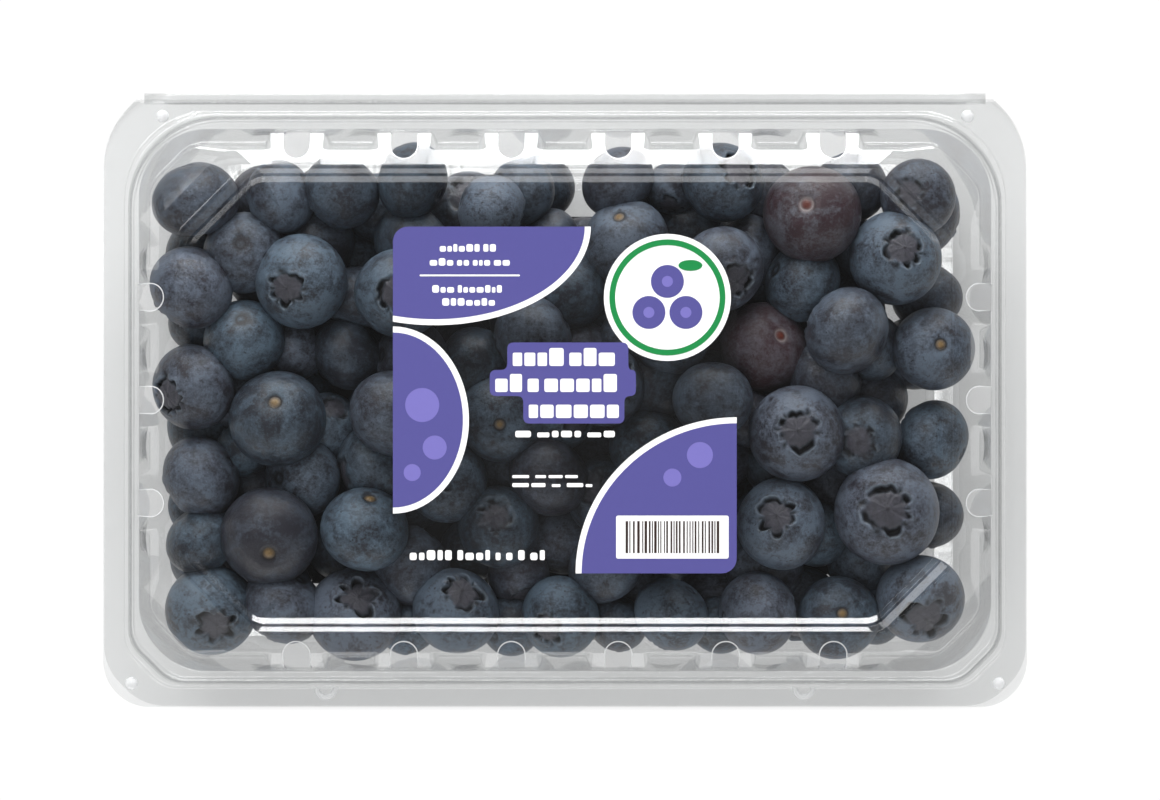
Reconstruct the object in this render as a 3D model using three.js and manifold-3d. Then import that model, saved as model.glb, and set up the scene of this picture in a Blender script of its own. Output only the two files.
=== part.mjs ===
// A hinged clear punnet of blueberries, in millimetres, +Z up.
// The origin is at the middle of the footprint, on the surface that the punnet stands on.
// +X runs along the hinge and +Y points to the hinge, so the front opens towards -Y.

import * as THREE from 'three';
import { mergeVertices } from 'three/addons/utils/BufferGeometryUtils.js';
import Module from 'manifold-3d';

const wasm = await Module();
wasm.setup();

// ---- driving dimensions ----------------------------------------------------------------

const LENGTH = 187;              // over the base's flange
const DEPTH = 124.3;             // front edge of the flange to the back of the hinge
const SHEET = 0.6;               // wall of the formed shells
const GAP = 0.3;                 // clearance between pieces that rest on each other
const FLANGE_TOP = 31.5;         // top of the base's flange
const RIM_TOP = 45.5;            // top of the lid's raised rim, the height of the whole
const PANEL_TOP = 43.5;          // the lid's recessed panel
const FLOOR_TOP = 2.1;           // the floor's middle, raised inside the foot
const HINGE_RADIUS = 0.75;
const HINGE_HALF = 85.1;         // half the length of the hinge

const HALF_X = LENGTH / 2;
const HALF_Y = DEPTH / 2;
const HINGE_Y = HALF_Y - HINGE_RADIUS;
const HINGE_Z = FLANGE_TOP - SHEET / 2 + GAP / 2;
const LID_BOTTOM = FLANGE_TOP + GAP;
const LID_FLANGE_TOP = LID_BOTTOM + SHEET;

// Half length and half depth of the lid's levels, from the flange inwards.
const LID_SIZE = {
  beadOuterFoot: [89.2, 58.3],
  beadOuterTop: [88.7, 57.8],
  beadInnerTop: [87.3, 56.4],
  shelfOuter: [86.9, 56],
  wallFoot: [83.9, 51.9],
  shoulder: [83.2, 51.2],
  rimOuter: [77.6, 46.9],
  rimInner: [77, 46.3],
  stepOuter: [75.9, 45.2],
  stepInner: [75.5, 44.8],
  panel: [73.7, 43.1],
};
const BEAD_HEIGHT = 2.2;
const SHELF_HEIGHT = 0.9;
const SHOULDER_DROP = 5;         // from the rim down to where the wall turns upright
const STEP_DROP = 0.9;

// The same of the base: the snap ridge on its flange, then the inner face of its wall.
const RIDGE_SIZE = {
  outerFoot: [88.35, 57.45],
  outerTop: [88.2, 57.3],
  innerTop: [87.8, 56.9],
  innerFoot: [87.65, 56.75],
};
const RIDGE_HEIGHT = 0.55;
const WALL_TOP = { x: 86.3, y: 54.9 };
const WALL_FOOT = { x: 81.8, y: 50.2 };
const FLUTE = { depth: 1.4, foot: 2, head: 21, end: 25 };
const FOOT = { bend: 0.7, width: 4.3, rise: 1.5 };

// Corners: cut is how far a corner is taken off each side, round goes from 0 for a straight
// cut to 1 for an arc. The back corners of a flange are wide arcs that the hinge line cuts off.
const BACK_ARC = 18.7;
const BACK_ARC_Y = 46.5;
const BASE_FLANGE_CORNER = {
  cut: 9.5, round: 1, backCut: BACK_ARC, backRound: 1, backArcY: BACK_ARC_Y,
};
const LID_FLANGE_CORNER = {
  cut: 12, round: 0.85, backCut: BACK_ARC - GAP, backRound: 1, backArcY: BACK_ARC_Y,
};
const BEAD_CORNER = { cut: 10.5, round: 0.6, backCut: 18, backRound: 1 };
const LID_WALL_CORNER = { cut: 10.5, round: 0.45 };
const RIM_CORNER = { cut: 14.5, round: 0.15 };
const PANEL_CORNER = { cut: 13, round: 0.15 };
const TRAY_CORNER = 14;          // arc radius of the base's wall
const CORNER_STEPS = 6;          // facets of each corner

// Bays are the shallow outward steps of a wall: those of the lid hold the vents,
// and those of the base are its upright flutes.
const LID_BAYS = { long: [10.7, 32.2, 53.7], short: [-20.6, 0, 20.6], width: 13.6, lead: 1.1 };
const LID_BAY_DEPTH = 2.5;
const BASE_BAYS = { long: [20.5, 41, 61], short: [-28, -9.3, 9.3, 28], width: 8, lead: 2 };

const VENT = { width: 5.3, reach: 5.7, edge: 0.35 };
const DRAIN = { width: 3, length: 14, x: [-54, -18, 18, 54], y: [-24, 24] };
const BUTTON = { radius: 1.6, height: 1, x: 48.1, y: -60 };
const NUB = { radius: 1.3, height: 1.2, front: [87.7, -57.3], back: [81.4, 57.4] };
const DOME_ROOT = 0.2;           // how far buttons and nubs go down into the flange
const LABEL = { width: 68.7, depth: 69.3, thickness: 0.3, corner: 3 };

// ---- solids ----------------------------------------------------------------------------

function solidFrom(geometry) {
  const bare = geometry.index ? geometry.toNonIndexed() : geometry.clone();
  bare.deleteAttribute('normal');
  bare.deleteAttribute('uv');
  const merged = mergeVertices(bare, 1e-4);
  return new wasm.Manifold(new wasm.Mesh({
    numProp: 3,
    vertProperties: new Float32Array(merged.attributes.position.array),
    triVerts: new Uint32Array(merged.index.array),
  }));
}

function geometryFrom(solid) {
  const mesh = solid.getMesh();
  const geometry = new THREE.BufferGeometry();
  geometry.setAttribute('position', new THREE.BufferAttribute(mesh.vertProperties, 3));
  geometry.setIndex(new THREE.BufferAttribute(mesh.triVerts, 1));
  geometry.computeVertexNormals();
  return geometry;
}

// ---- outlines --------------------------------------------------------------------------

// A station is one level of a shell: x is half its length, front and back are its two half
// depths, z is its height, and bulge is how far its bays stand out.
function station([x, y], z, corner, bulge = 0) {
  return { x, front: y, back: y, z, bulge, ...corner };
}

function cornerPoints(centre, cut, round, from, to) {
  const at = (angle) => new THREE.Vector2(
    centre[0] + cut * Math.cos(angle), centre[1] + cut * Math.sin(angle));
  const points = [];
  for (let step = 0; step <= CORNER_STEPS; step++) {
    const share = step / CORNER_STEPS;
    const straight = at(from).lerp(at(to), share);
    points.push(straight.lerp(at(from + (to - from) * share), round));
  }
  return points;
}

function bayPoints(bays, centre, bulge, shrink) {
  const half = bays.width / 2 - shrink;
  return [[-half, 0], [bays.lead - half, 1], [half - bays.lead, 1], [half, 0]]
    .map(([offset, out]) => [centre + offset, out * bulge]);
}

// The half of the outline at +X, from the middle of the front to the middle of the back.
function halfOutline(level, bays) {
  const { x, front, back, cut, round, bulge, shrink = 0 } = level;
  const backCut = level.backCut ?? cut;
  const backRound = level.backRound ?? round;
  const backArcY = level.backArcY ?? back - backCut;
  const sweep = Math.asin(Math.min(1, (back - backArcY) / backCut));
  const points = [];
  for (const centre of bays.long) {
    for (const [along, out] of bayPoints(bays, centre, bulge, shrink)) {
      points.push(new THREE.Vector2(along, -front - out));
    }
  }
  points.push(...cornerPoints([x - cut, cut - front], cut, round, -Math.PI / 2, 0));
  for (const centre of bays.short) {
    for (const [along, out] of bayPoints(bays, centre, bulge, shrink)) {
      points.push(new THREE.Vector2(x + out, along));
    }
  }
  points.push(...cornerPoints([x - backCut, backArcY], backCut, backRound, 0, sweep));
  for (const centre of [...bays.long].reverse()) {
    for (const [along, out] of bayPoints(bays, centre, bulge, shrink).reverse()) {
      points.push(new THREE.Vector2(along, back + out));
    }
  }
  return points;
}

function outline(level, bays) {
  const right = halfOutline(level, bays);
  const left = right.map((point) => new THREE.Vector2(-point.x, point.y)).reverse();
  return [...right, ...left];
}

// A closed body whose surface runs through the stations' outlines in turn, with a flat cap
// on the first, facing down, and on the last, facing up.
function loftedSolid(stations, bays) {
  const rings = stations.map((level) => outline(level, bays));
  const count = rings[0].length;
  const positions = [];
  rings.forEach((ring, index) => {
    ring.forEach((point) => positions.push(point.x, point.y, stations[index].z));
  });
  const triangles = [];
  for (let level = 0; level + 1 < rings.length; level++) {
    for (let k = 0; k < count; k++) {
      const a = level * count + k;
      const b = level * count + (k + 1) % count;
      triangles.push(a, b, b + count, a, b + count, a + count);
    }
  }
  const bottom = positions.length / 3;
  positions.push(0, 0, stations[0].z);
  const top = bottom + 1;
  positions.push(0, 0, stations.at(-1).z);
  const lastRing = (rings.length - 1) * count;
  for (let k = 0; k < count; k++) {
    const next = (k + 1) % count;
    triangles.push(bottom, next, k, top, lastRing + k, lastRing + next);
  }
  const geometry = new THREE.BufferGeometry();
  geometry.setAttribute('position', new THREE.Float32BufferAttribute(positions, 3));
  geometry.setIndex(triangles);
  return solidFrom(geometry);
}

// The underside of a sheet: each station moves by the sheet's thickness, square to the
// profile through its neighbours, and its bays get narrower by shrink at both sides.
function underside(stations, shrink) {
  const move = (key, index) => {
    const here = stations[index];
    const before = stations[Math.max(index - 1, 0)];
    const after = stations[Math.min(index + 1, stations.length - 1)];
    const normal = (from, to) => {
      const run = new THREE.Vector2(from[key] - to[key], to.z - from.z);
      return run.lengthSq() ? new THREE.Vector2(-run.y, -run.x).normalize() : null;
    };
    const first = normal(before, here) ?? normal(here, after);
    const second = normal(here, after) ?? first;
    const middle = first.clone().add(second).normalize();
    return middle.multiplyScalar(SHEET / Math.max(middle.dot(first), 0.5));
  };
  return stations.map((level, index) => {
    const byX = move('x', index);
    return {
      ...level,
      x: level.x + byX.x,
      front: level.front + move('front', index).x,
      back: level.back + move('back', index).x,
      z: level.z + byX.y,
      shrink,
    };
  });
}

// ---- lid -------------------------------------------------------------------------------

// Both edges of the lid's flange, which stops just short of the hinge.
function lidFlange(z) {
  return {
    ...station([HALF_X - GAP, HALF_Y - GAP], z, LID_FLANGE_CORNER),
    back: HINGE_Y - HINGE_RADIUS - GAP,
  };
}

// The upper face, from the flange inwards: snap bead, shelf, upright wall, shoulder, rim,
// step, panel.
function lidStations() {
  const beadTop = LID_FLANGE_TOP + BEAD_HEIGHT;
  const shelf = LID_FLANGE_TOP + SHELF_HEIGHT;
  const step = RIM_TOP - STEP_DROP;
  return [
    lidFlange(LID_FLANGE_TOP),
    station(LID_SIZE.beadOuterFoot, LID_FLANGE_TOP, BEAD_CORNER),
    station(LID_SIZE.beadOuterTop, beadTop, BEAD_CORNER),
    station(LID_SIZE.beadInnerTop, beadTop, BEAD_CORNER),
    station(LID_SIZE.shelfOuter, shelf, BEAD_CORNER),
    station(LID_SIZE.wallFoot, shelf, LID_WALL_CORNER, LID_BAY_DEPTH),
    station(LID_SIZE.shoulder, RIM_TOP - SHOULDER_DROP, LID_WALL_CORNER, LID_BAY_DEPTH),
    station(LID_SIZE.rimOuter, RIM_TOP, RIM_CORNER),
    station(LID_SIZE.rimInner, RIM_TOP, RIM_CORNER),
    station(LID_SIZE.stepOuter, step, RIM_CORNER),
    station(LID_SIZE.stepInner, step, RIM_CORNER),
    station(LID_SIZE.panel, PANEL_TOP, PANEL_CORNER),
  ];
}

// A slot that is square towards the flange and round towards the panel, cut straight down.
function ventCutter(x, y, turn) {
  const half = VENT.width / 2;
  const shape = new THREE.Shape();
  shape.moveTo(-half, 0);
  shape.lineTo(-half, half - VENT.reach);
  shape.absarc(0, half - VENT.reach, half, Math.PI, 2 * Math.PI, false);
  shape.lineTo(half, 0);
  shape.closePath();
  const geometry = new THREE.ExtrudeGeometry(
    shape, { depth: RIM_TOP - LID_BOTTOM, bevelEnabled: false, curveSegments: 5 });
  geometry.rotateZ(turn);
  geometry.translate(x, y, LID_BOTTOM);
  return solidFrom(geometry);
}

function ventCutters() {
  const [outX, outY] = LID_SIZE.wallFoot.map((half) => half + LID_BAY_DEPTH - VENT.edge);
  const cutters = [];
  for (const side of [-1, 1]) {
    for (const y of LID_BAYS.short) {
      cutters.push(ventCutter(side * outX, y, -side * Math.PI / 2));
    }
    for (const place of LID_BAYS.long) {
      cutters.push(ventCutter(side * place, outY, 0));
      cutters.push(ventCutter(side * place, -outY, Math.PI));
    }
  }
  return cutters;
}

// A low dome on the flange, rooted a little way into it.
function dome(radius, height, x, y) {
  const steps = 3;
  const profile = [new THREE.Vector2(0, 0), new THREE.Vector2(radius, 0)];
  for (let step = 0; step <= steps; step++) {
    const angle = step / steps * Math.PI / 2;
    profile.push(new THREE.Vector2(
      step === steps ? 0 : radius * Math.cos(angle), DOME_ROOT + height * Math.sin(angle)));
  }
  const geometry = new THREE.LatheGeometry(profile, 10);
  geometry.rotateX(Math.PI / 2);
  geometry.translate(x, y, LID_FLANGE_TOP - DOME_ROOT);
  return solidFrom(geometry);
}

function lidDomes() {
  const domes = [];
  for (const side of [-1, 1]) {
    domes.push(dome(BUTTON.radius, BUTTON.height, side * BUTTON.x, BUTTON.y));
    domes.push(dome(NUB.radius, NUB.height, side * NUB.front[0], NUB.front[1]));
    domes.push(dome(NUB.radius, NUB.height, side * NUB.back[0], NUB.back[1]));
  }
  return domes;
}

function lidSolid() {
  const upper = lidStations();
  const lower = underside(upper, SHEET).reverse();
  lower[lower.length - 1] = lidFlange(LID_BOTTOM);
  let lid = loftedSolid([...lower, ...upper], LID_BAYS);
  for (const piece of lidDomes()) lid = lid.add(piece);
  for (const cutter of ventCutters()) lid = lid.subtract(cutter);
  return lid.simplify(1e-3);
}

// ---- base ------------------------------------------------------------------------------

function baseFlange(z) {
  return { ...station([HALF_X, HALF_Y], z, BASE_FLANGE_CORNER), back: HINGE_Y };
}

// The inner face of the sloping wall at a height.
function wallAt(z) {
  const share = Math.min((z - SHEET) / (FLANGE_TOP - SHEET), 1);
  return {
    x: THREE.MathUtils.lerp(WALL_FOOT.x, WALL_TOP.x, share),
    y: THREE.MathUtils.lerp(WALL_FOOT.y, WALL_TOP.y, share),
  };
}

// The inner face, from the flange inwards and down: snap ridge, fluted wall, foot, floor.
function baseStations() {
  const ridgeTop = FLANGE_TOP + RIDGE_HEIGHT;
  const onWall = (z, bulge) => station(
    [wallAt(z).x, wallAt(z).y], z, { cut: TRAY_CORNER, round: 1 }, bulge);
  const inFoot = (inset, z) => station(
    [WALL_FOOT.x - inset, WALL_FOOT.y - inset], z, { cut: TRAY_CORNER - inset, round: 1 });
  return [
    baseFlange(FLANGE_TOP),
    station(RIDGE_SIZE.outerFoot, FLANGE_TOP, BEAD_CORNER),
    station(RIDGE_SIZE.outerTop, ridgeTop, BEAD_CORNER),
    station(RIDGE_SIZE.innerTop, ridgeTop, BEAD_CORNER),
    station(RIDGE_SIZE.innerFoot, FLANGE_TOP, BEAD_CORNER),
    onWall(FLANGE_TOP, 0),
    onWall(FLUTE.end, 0),
    onWall(FLUTE.head, FLUTE.depth),
    onWall(FLUTE.foot, FLUTE.depth),
    inFoot(FOOT.bend, SHEET),
    inFoot(FOOT.bend + FOOT.width, SHEET),
    inFoot(FOOT.bend + FOOT.width + FOOT.rise, FLOOR_TOP),
  ];
}

function drainCutter(x, y) {
  const half = DRAIN.length / 2 - DRAIN.width / 2;
  const shape = new THREE.Shape();
  shape.absarc(half, 0, DRAIN.width / 2, -Math.PI / 2, Math.PI / 2, false);
  shape.absarc(-half, 0, DRAIN.width / 2, Math.PI / 2, Math.PI * 1.5, false);
  shape.closePath();
  const geometry = new THREE.ExtrudeGeometry(
    shape, { depth: 2 * FLOOR_TOP, bevelEnabled: false, curveSegments: 5 });
  geometry.translate(x, y, 0);
  return solidFrom(geometry);
}

function hingeBead() {
  const geometry = new THREE.CylinderGeometry(
    HINGE_RADIUS, HINGE_RADIUS, 2 * HINGE_HALF, 12);
  geometry.rotateZ(Math.PI / 2);
  geometry.translate(0, HINGE_Y, HINGE_Z);
  return solidFrom(geometry);
}

function baseSolid() {
  const inner = baseStations();
  const outer = underside(inner, -SHEET).reverse();
  outer[outer.length - 1] = baseFlange(FLANGE_TOP - SHEET);
  let base = loftedSolid([...outer, ...inner], BASE_BAYS).add(hingeBead());
  for (const x of DRAIN.x) {
    for (const y of DRAIN.y) base = base.subtract(drainCutter(x, y));
  }
  return base.simplify(1e-3);
}

// ---- blueberries -----------------------------------------------------------------------

// The berries that show from above, back row first: x, y, radius and how high they sit,
// from 0, sunk between their neighbours, to 2, on top of them.
const TOP_BERRIES = [
  [-75.3, 40.7, 8.9, 1], [-61.3, 40.9, 8.5, 0], [-45.5, 42.5, 8.1, 1], [-30.0, 42.5, 7.9, 1],
  [-15.0, 38.3, 7.3, 2], [-5.1, 43.5, 7.1, 0], [-3.0, 33.0, 6.6, 0], [12.3, 32.4, 8.9, 1],
  [12.0, 42.6, 7.7, 0], [31.4, 41.1, 8.3, 1], [49.8, 38.1, 10.1, 2], [59.5, 42.0, 7.6, 0],
  [74.9, 38.5, 8.5, 1], [67.2, 28.7, 9.5, 2], [31.2, 26.7, 8.9, 1], [43.5, 22.3, 7.7, 0],
  [57.5, 14.8, 9.1, 1], [40.5, 11.1, 9.3, 1], [75.5, 10.7, 8.5, 1], [75.4, 20.8, 7.4, 0],
  [22.3, 14.2, 8.1, 1], [62.1, 0.4, 8.7, 0], [47.2, -6.7, 9.7, 2], [75.9, -8.1, 8.1, 1],
  [65.8, -23.1, 10.7, 2], [43.7, -25.1, 9.3, 1], [31.4, -12.1, 7.1, 0], [72.3, -40.5, 9.1, 1],
  [73.6, -23.5, 7.9, 0], [16.8, -25.3, 8.5, 1], [-1.0, -29.3, 8.1, 1], [21.7, -43.5, 8.1, 1],
  [39.5, -43.5, 8.5, 1], [55.3, -44.1, 8.5, 0], [-72.3, -42.7, 9.3, 2], [-74.4, -32.4, 7.7, 0],
  [-73.9, -15.8, 8.5, 1], [-58.1, -4.0, 9.9, 2], [-60.1, -27.5, 10.1, 1], [-40.5, -27.1, 9.1, 1],
  [-42.7, -44.1, 9.5, 1], [-22.3, -42.9, 8.9, 1], [-47.6, -14.6, 7.7, 0], [-35.0, -2.6, 9.1, 1],
  [-13.2, -4.0, 8.9, 1], [-75.9, 22.9, 8.7, 1], [-76.3, 2.4, 8.9, 1], [-66.4, 13.2, 7.7, 0],
  [-53.6, 23.9, 9.5, 2], [-44.5, 9.3, 7.7, 1], [-33.0, 22.0, 9.1, 1], [-22.3, 10.1, 7.7, 0],
  [5.1, -12.5, 7.9, 0], [-17.5, 25.0, 8.3, 1], [-6.5, 13.0, 8.3, 1], [8.0, 17.5, 7.9, 0],
  [8.5, 2.5, 8.3, 1], [-24.0, -16.5, 8.3, 1], [-18.5, -30.0, 7.9, 0], [30.0, 0.5, 8.1, 1],
  [28.5, -28.0, 7.7, 0], [16.5, -9.5, 7.9, 1], [-1.0, -44.0, 8.3, 1],
];
const LEVEL_Z = [20, 25, 29];    // first guess of a top berry's height, by how high it sits
const HEAP_TOP = 38.3;
const HEAP_FLOOR = FLOOR_TOP + GAP;
const HEAP_SHOULDER = { x: 58, y: 28, run: 14, drop: 3.4 };  // the heap is lower along the walls
const WALL_ROOM = 0.7;           // what the wall's slope and the clearance take from a berry

// The berries under them stand in rows, each a little out of line, where no sunken one is near.
const LOWER_ROWS = {
  columns: 9, rows: 5, pitchX: 18, pitchY: 20, stagger: 0.25,
  z: 11, radius: 8.4, drift: 3, clear: 9,
};
const SETTLE = { rounds: 400, share: 0.35, tether: 0.15, sink: 0.03, seed: 7 };

function seeded(seed) {
  let state = seed;
  return () => {
    state = (state * 16807) % 2147483647;
    return state / 2147483647;
  };
}

function lowerBerries(random) {
  const { columns, rows, pitchX, pitchY, stagger, z, radius, drift, clear } = LOWER_ROWS;
  const sunken = TOP_BERRIES.filter((berry) => berry[3] === 0);
  const berries = [];
  for (let row = 0; row < rows; row++) {
    const shift = row % 2 ? stagger : -stagger;
    for (let column = 0; column < columns; column++) {
      const x = (column - (columns - 1) / 2 + shift) * pitchX + (random() - 0.5) * drift;
      const y = (row - (rows - 1) / 2) * pitchY + (random() - 0.5) * drift;
      const size = radius + (random() - 0.5);
      if (sunken.some((berry) => Math.hypot(berry[0] - x, berry[1] - y) < clear)) continue;
      berries.push({ x, y, z, radius: size, held: false });
    }
  }
  return berries;
}

// Keeps a berry between the floor, the sloping walls, the round corners and the heap's top.
function contain(berry) {
  const { radius } = berry;
  const outwards = Math.max(
    (Math.abs(berry.x) - HEAP_SHOULDER.x) / HEAP_SHOULDER.run,
    (Math.abs(berry.y) - HEAP_SHOULDER.y) / HEAP_SHOULDER.run, 0);
  const top = HEAP_TOP - HEAP_SHOULDER.drop * Math.min(outwards, 1);
  berry.z = Math.min(Math.max(berry.z, HEAP_FLOOR + radius), top - radius);
  const wall = wallAt(berry.z);
  const room = TRAY_CORNER - (radius + WALL_ROOM);
  const straightX = wall.x - TRAY_CORNER;
  const straightY = wall.y - TRAY_CORNER;
  const overX = Math.max(Math.abs(berry.x) - straightX, 0);
  const overY = Math.max(Math.abs(berry.y) - straightY, 0);
  const over = Math.hypot(overX, overY);
  if (over <= room) return;
  if (overX > 0) berry.x = Math.sign(berry.x) * (straightX + overX * room / over);
  if (overY > 0) berry.y = Math.sign(berry.y) * (straightY + overY * room / over);
}

// Pushes overlapping berries apart, draws the top ones back to their places and lets all sink.
function settledBerries() {
  const berries = lowerBerries(seeded(SETTLE.seed));
  for (const [x, y, radius, level] of TOP_BERRIES) {
    berries.push({ x, y, z: LEVEL_Z[level], radius, held: true, home: [x, y] });
  }
  for (let round = 0; round < SETTLE.rounds; round++) {
    for (let i = 0; i < berries.length; i++) {
      for (let j = i + 1; j < berries.length; j++) {
        const [a, b] = [berries[i], berries[j]];
        const [dx, dy, dz] = [b.x - a.x, b.y - a.y, b.z - a.z];
        const distance = Math.sqrt(dx * dx + dy * dy + dz * dz);
        const overlap = a.radius + b.radius - distance;
        if (overlap <= 0) continue;
        const push = SETTLE.share * overlap / distance;
        a.x -= push * dx;
        a.y -= push * dy;
        a.z -= push * dz;
        b.x += push * dx;
        b.y += push * dy;
        b.z += push * dz;
      }
    }
    for (const berry of berries) {
      berry.z -= SETTLE.sink;
      if (berry.held) {
        berry.x += SETTLE.tether * (berry.home[0] - berry.x);
        berry.y += SETTLE.tether * (berry.home[1] - berry.y);
      }
      contain(berry);
    }
  }
  return berries;
}

// What fills the middle of the heap, where no berry shows.
const CORE = {
  bottomSize: [72, 40.5], bottom: 8, topSize: [75, 43], top: 22, corner: { cut: 8, round: 0.5 },
};

function heapCore() {
  const bottom = station(CORE.bottomSize, CORE.bottom, CORE.corner);
  const top = station(CORE.topSize, CORE.top, CORE.corner);
  return loftedSolid([bottom, top], { long: [], short: [] });
}

// The top berries have 80 facets and those under them 36.
function berrySolid(berry, random) {
  const geometry = berry.held
    ? new THREE.IcosahedronGeometry(berry.radius, 1)
    : new THREE.DodecahedronGeometry(berry.radius);
  geometry.rotateX(random() * Math.PI);
  geometry.rotateZ(random() * Math.PI);
  geometry.translate(berry.x, berry.y, berry.z);
  return solidFrom(geometry);
}

// Fused berries can seal a hollow between them, which comes apart as a body of its own.
function largestBody(solid) {
  const bodies = solid.decompose();
  return bodies.reduce((best, body) => (body.volume() > best.volume() ? body : best));
}

function heapSolid() {
  const random = seeded(SETTLE.seed + 1);
  const berries = settledBerries().map((berry) => berrySolid(berry, random));
  const heap = wasm.Manifold.union([heapCore(), ...berries]);
  return largestBody(heap.simplify(0.05));
}

// ---- label -----------------------------------------------------------------------------

function labelSolid() {
  const { width, depth, thickness, corner } = LABEL;
  const x = width / 2 - corner;
  const y = depth / 2 - corner;
  const shape = new THREE.Shape();
  shape.absarc(x, -y, corner, -Math.PI / 2, 0, false);
  shape.absarc(x, y, corner, 0, Math.PI / 2, false);
  shape.absarc(-x, y, corner, Math.PI / 2, Math.PI, false);
  shape.absarc(-x, -y, corner, Math.PI, Math.PI * 1.5, false);
  shape.closePath();
  const geometry = new THREE.ExtrudeGeometry(
    shape, { depth: thickness, bevelEnabled: false, curveSegments: 4 });
  geometry.translate(0, 0, PANEL_TOP + GAP);
  return solidFrom(geometry);
}

// ---- the punnet ------------------------------------------------------------------------

function clearPlastic() {
  return new THREE.MeshStandardMaterial(
    { color: 0xe6eaec, roughness: 0.08, metalness: 0, transparent: true, opacity: 0.3 });
}

function piece(name, solid, material) {
  const mesh = new THREE.Mesh(geometryFrom(solid), material);
  mesh.name = name;
  return mesh;
}

const berryBlue = new THREE.MeshStandardMaterial({ color: 0x3b4556, roughness: 0.55 });
const labelPurple = new THREE.MeshStandardMaterial({ color: 0x645cab, roughness: 0.4 });

const punnet = new THREE.Group();
const lid = new THREE.Group();
lid.add(piece('punnet_lid', lidSolid(), clearPlastic()));
lid.add(piece('label', labelSolid(), labelPurple));
punnet.add(piece('punnet_base', baseSolid(), clearPlastic()));
punnet.add(piece('blueberries', heapSolid(), berryBlue));
punnet.add(lid);

export default punnet;
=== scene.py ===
"""A hinged clear punnet of blueberries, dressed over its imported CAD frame.

Sizes are in millimetres and become metres where a mesh is made. +Z is up, the hinge runs
along +X at the back, +Y, and the camera looks straight down.
"""

import math
from types import SimpleNamespace as Sizes

import bpy
import numpy as np
from mathutils import Matrix, Vector
from mathutils.geometry import tessellate_polygon


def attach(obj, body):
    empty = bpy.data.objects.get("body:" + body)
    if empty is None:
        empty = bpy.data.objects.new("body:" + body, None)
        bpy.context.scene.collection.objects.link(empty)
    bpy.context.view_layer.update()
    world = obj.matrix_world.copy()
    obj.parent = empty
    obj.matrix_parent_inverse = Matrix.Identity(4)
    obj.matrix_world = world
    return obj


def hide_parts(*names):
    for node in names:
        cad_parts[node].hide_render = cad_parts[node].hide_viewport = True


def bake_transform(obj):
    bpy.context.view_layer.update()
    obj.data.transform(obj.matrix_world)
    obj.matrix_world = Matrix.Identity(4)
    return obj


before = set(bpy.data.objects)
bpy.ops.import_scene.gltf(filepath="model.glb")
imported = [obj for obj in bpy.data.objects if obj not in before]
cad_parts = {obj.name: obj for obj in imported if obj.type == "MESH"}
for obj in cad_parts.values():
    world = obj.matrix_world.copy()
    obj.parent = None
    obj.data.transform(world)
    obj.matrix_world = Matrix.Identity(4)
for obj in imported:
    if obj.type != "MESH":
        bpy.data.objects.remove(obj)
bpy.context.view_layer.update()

# ---- sizes, as in the CAD but for the lid's slope and its buttons ----

MM = 0.001
LENGTH = 187.0
DEPTH = 124.3
SHEET = 0.6
GAP = 0.3
FLANGE_TOP = 31.5
RIM_TOP = 45.5
PANEL_TOP = 43.5
FLOOR_TOP = 2.1
HINGE_RADIUS = 0.75
HINGE_HALF = 85.1

HALF_X = LENGTH / 2
HALF_Y = DEPTH / 2
HINGE_Y = HALF_Y - HINGE_RADIUS
BASE_BACK = HINGE_Y - 0.5        # the flanges' back edges, which the hinge's web joins
LID_BACK = HINGE_Y - HINGE_RADIUS - GAP
LID_BOTTOM = FLANGE_TOP + GAP
LID_FLANGE_TOP = LID_BOTTOM + SHEET

# The base: the snap ridge's half sizes and heights, the sloping wall, its flutes and the foot.
RIDGE_TOP = FLANGE_TOP + 0.55
RIDGE = (
    ((88.35, 57.45), FLANGE_TOP), ((88.2, 57.3), RIDGE_TOP),
    ((87.8, 56.9), RIDGE_TOP), ((87.65, 56.75), FLANGE_TOP),
)
WALL_TOP = (86.3, 54.9)
WALL_FOOT = (81.8, 50.2)
FLUTE = Sizes(depth=1.4, foot=2.0, head=21.0, end=25.0)
FOOT = Sizes(bend=0.7, width=4.3, rise=1.5)

# Corners: how far a corner is taken off each side, and how round it is, from 0 to 1.
BACK_ARC = 18.7
BACK_ARC_Y = 46.5
BACK_TOP = BACK_ARC_Y + BACK_ARC
BASE_FLANGE_CORNER = {"cut": 9.5, "round": 1.0, "back_cut": BACK_ARC, "back_top": BACK_TOP}
LID_FLANGE_CORNER = {
    "cut": 12.0, "round": 0.85, "back_cut": BACK_ARC - GAP, "back_top": BACK_TOP - GAP,
}
BEAD_CORNER = {"cut": 10.5, "round": 0.6, "back_cut": 18.0}
LID_WALL_CORNER = {"cut": 10.5, "round": 0.45}
RIM_CORNER = {"cut": 14.5, "round": 0.15}
PANEL_CORNER = {"cut": 13.0, "round": 0.15}
SLOPE_BACK = 50.1                # the back slope is a little steeper than the front one
SLOPE_CORNER = {**RIM_CORNER, "back_top": SLOPE_BACK}
TRAY_CORNER = 14.0
LEAST_CORNER_RADIUS = 3.0
CORNER_STEPS = 9
TURN = 0.414                     # the tangent of half of 45 degrees, the turn at a corner's cut

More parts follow.
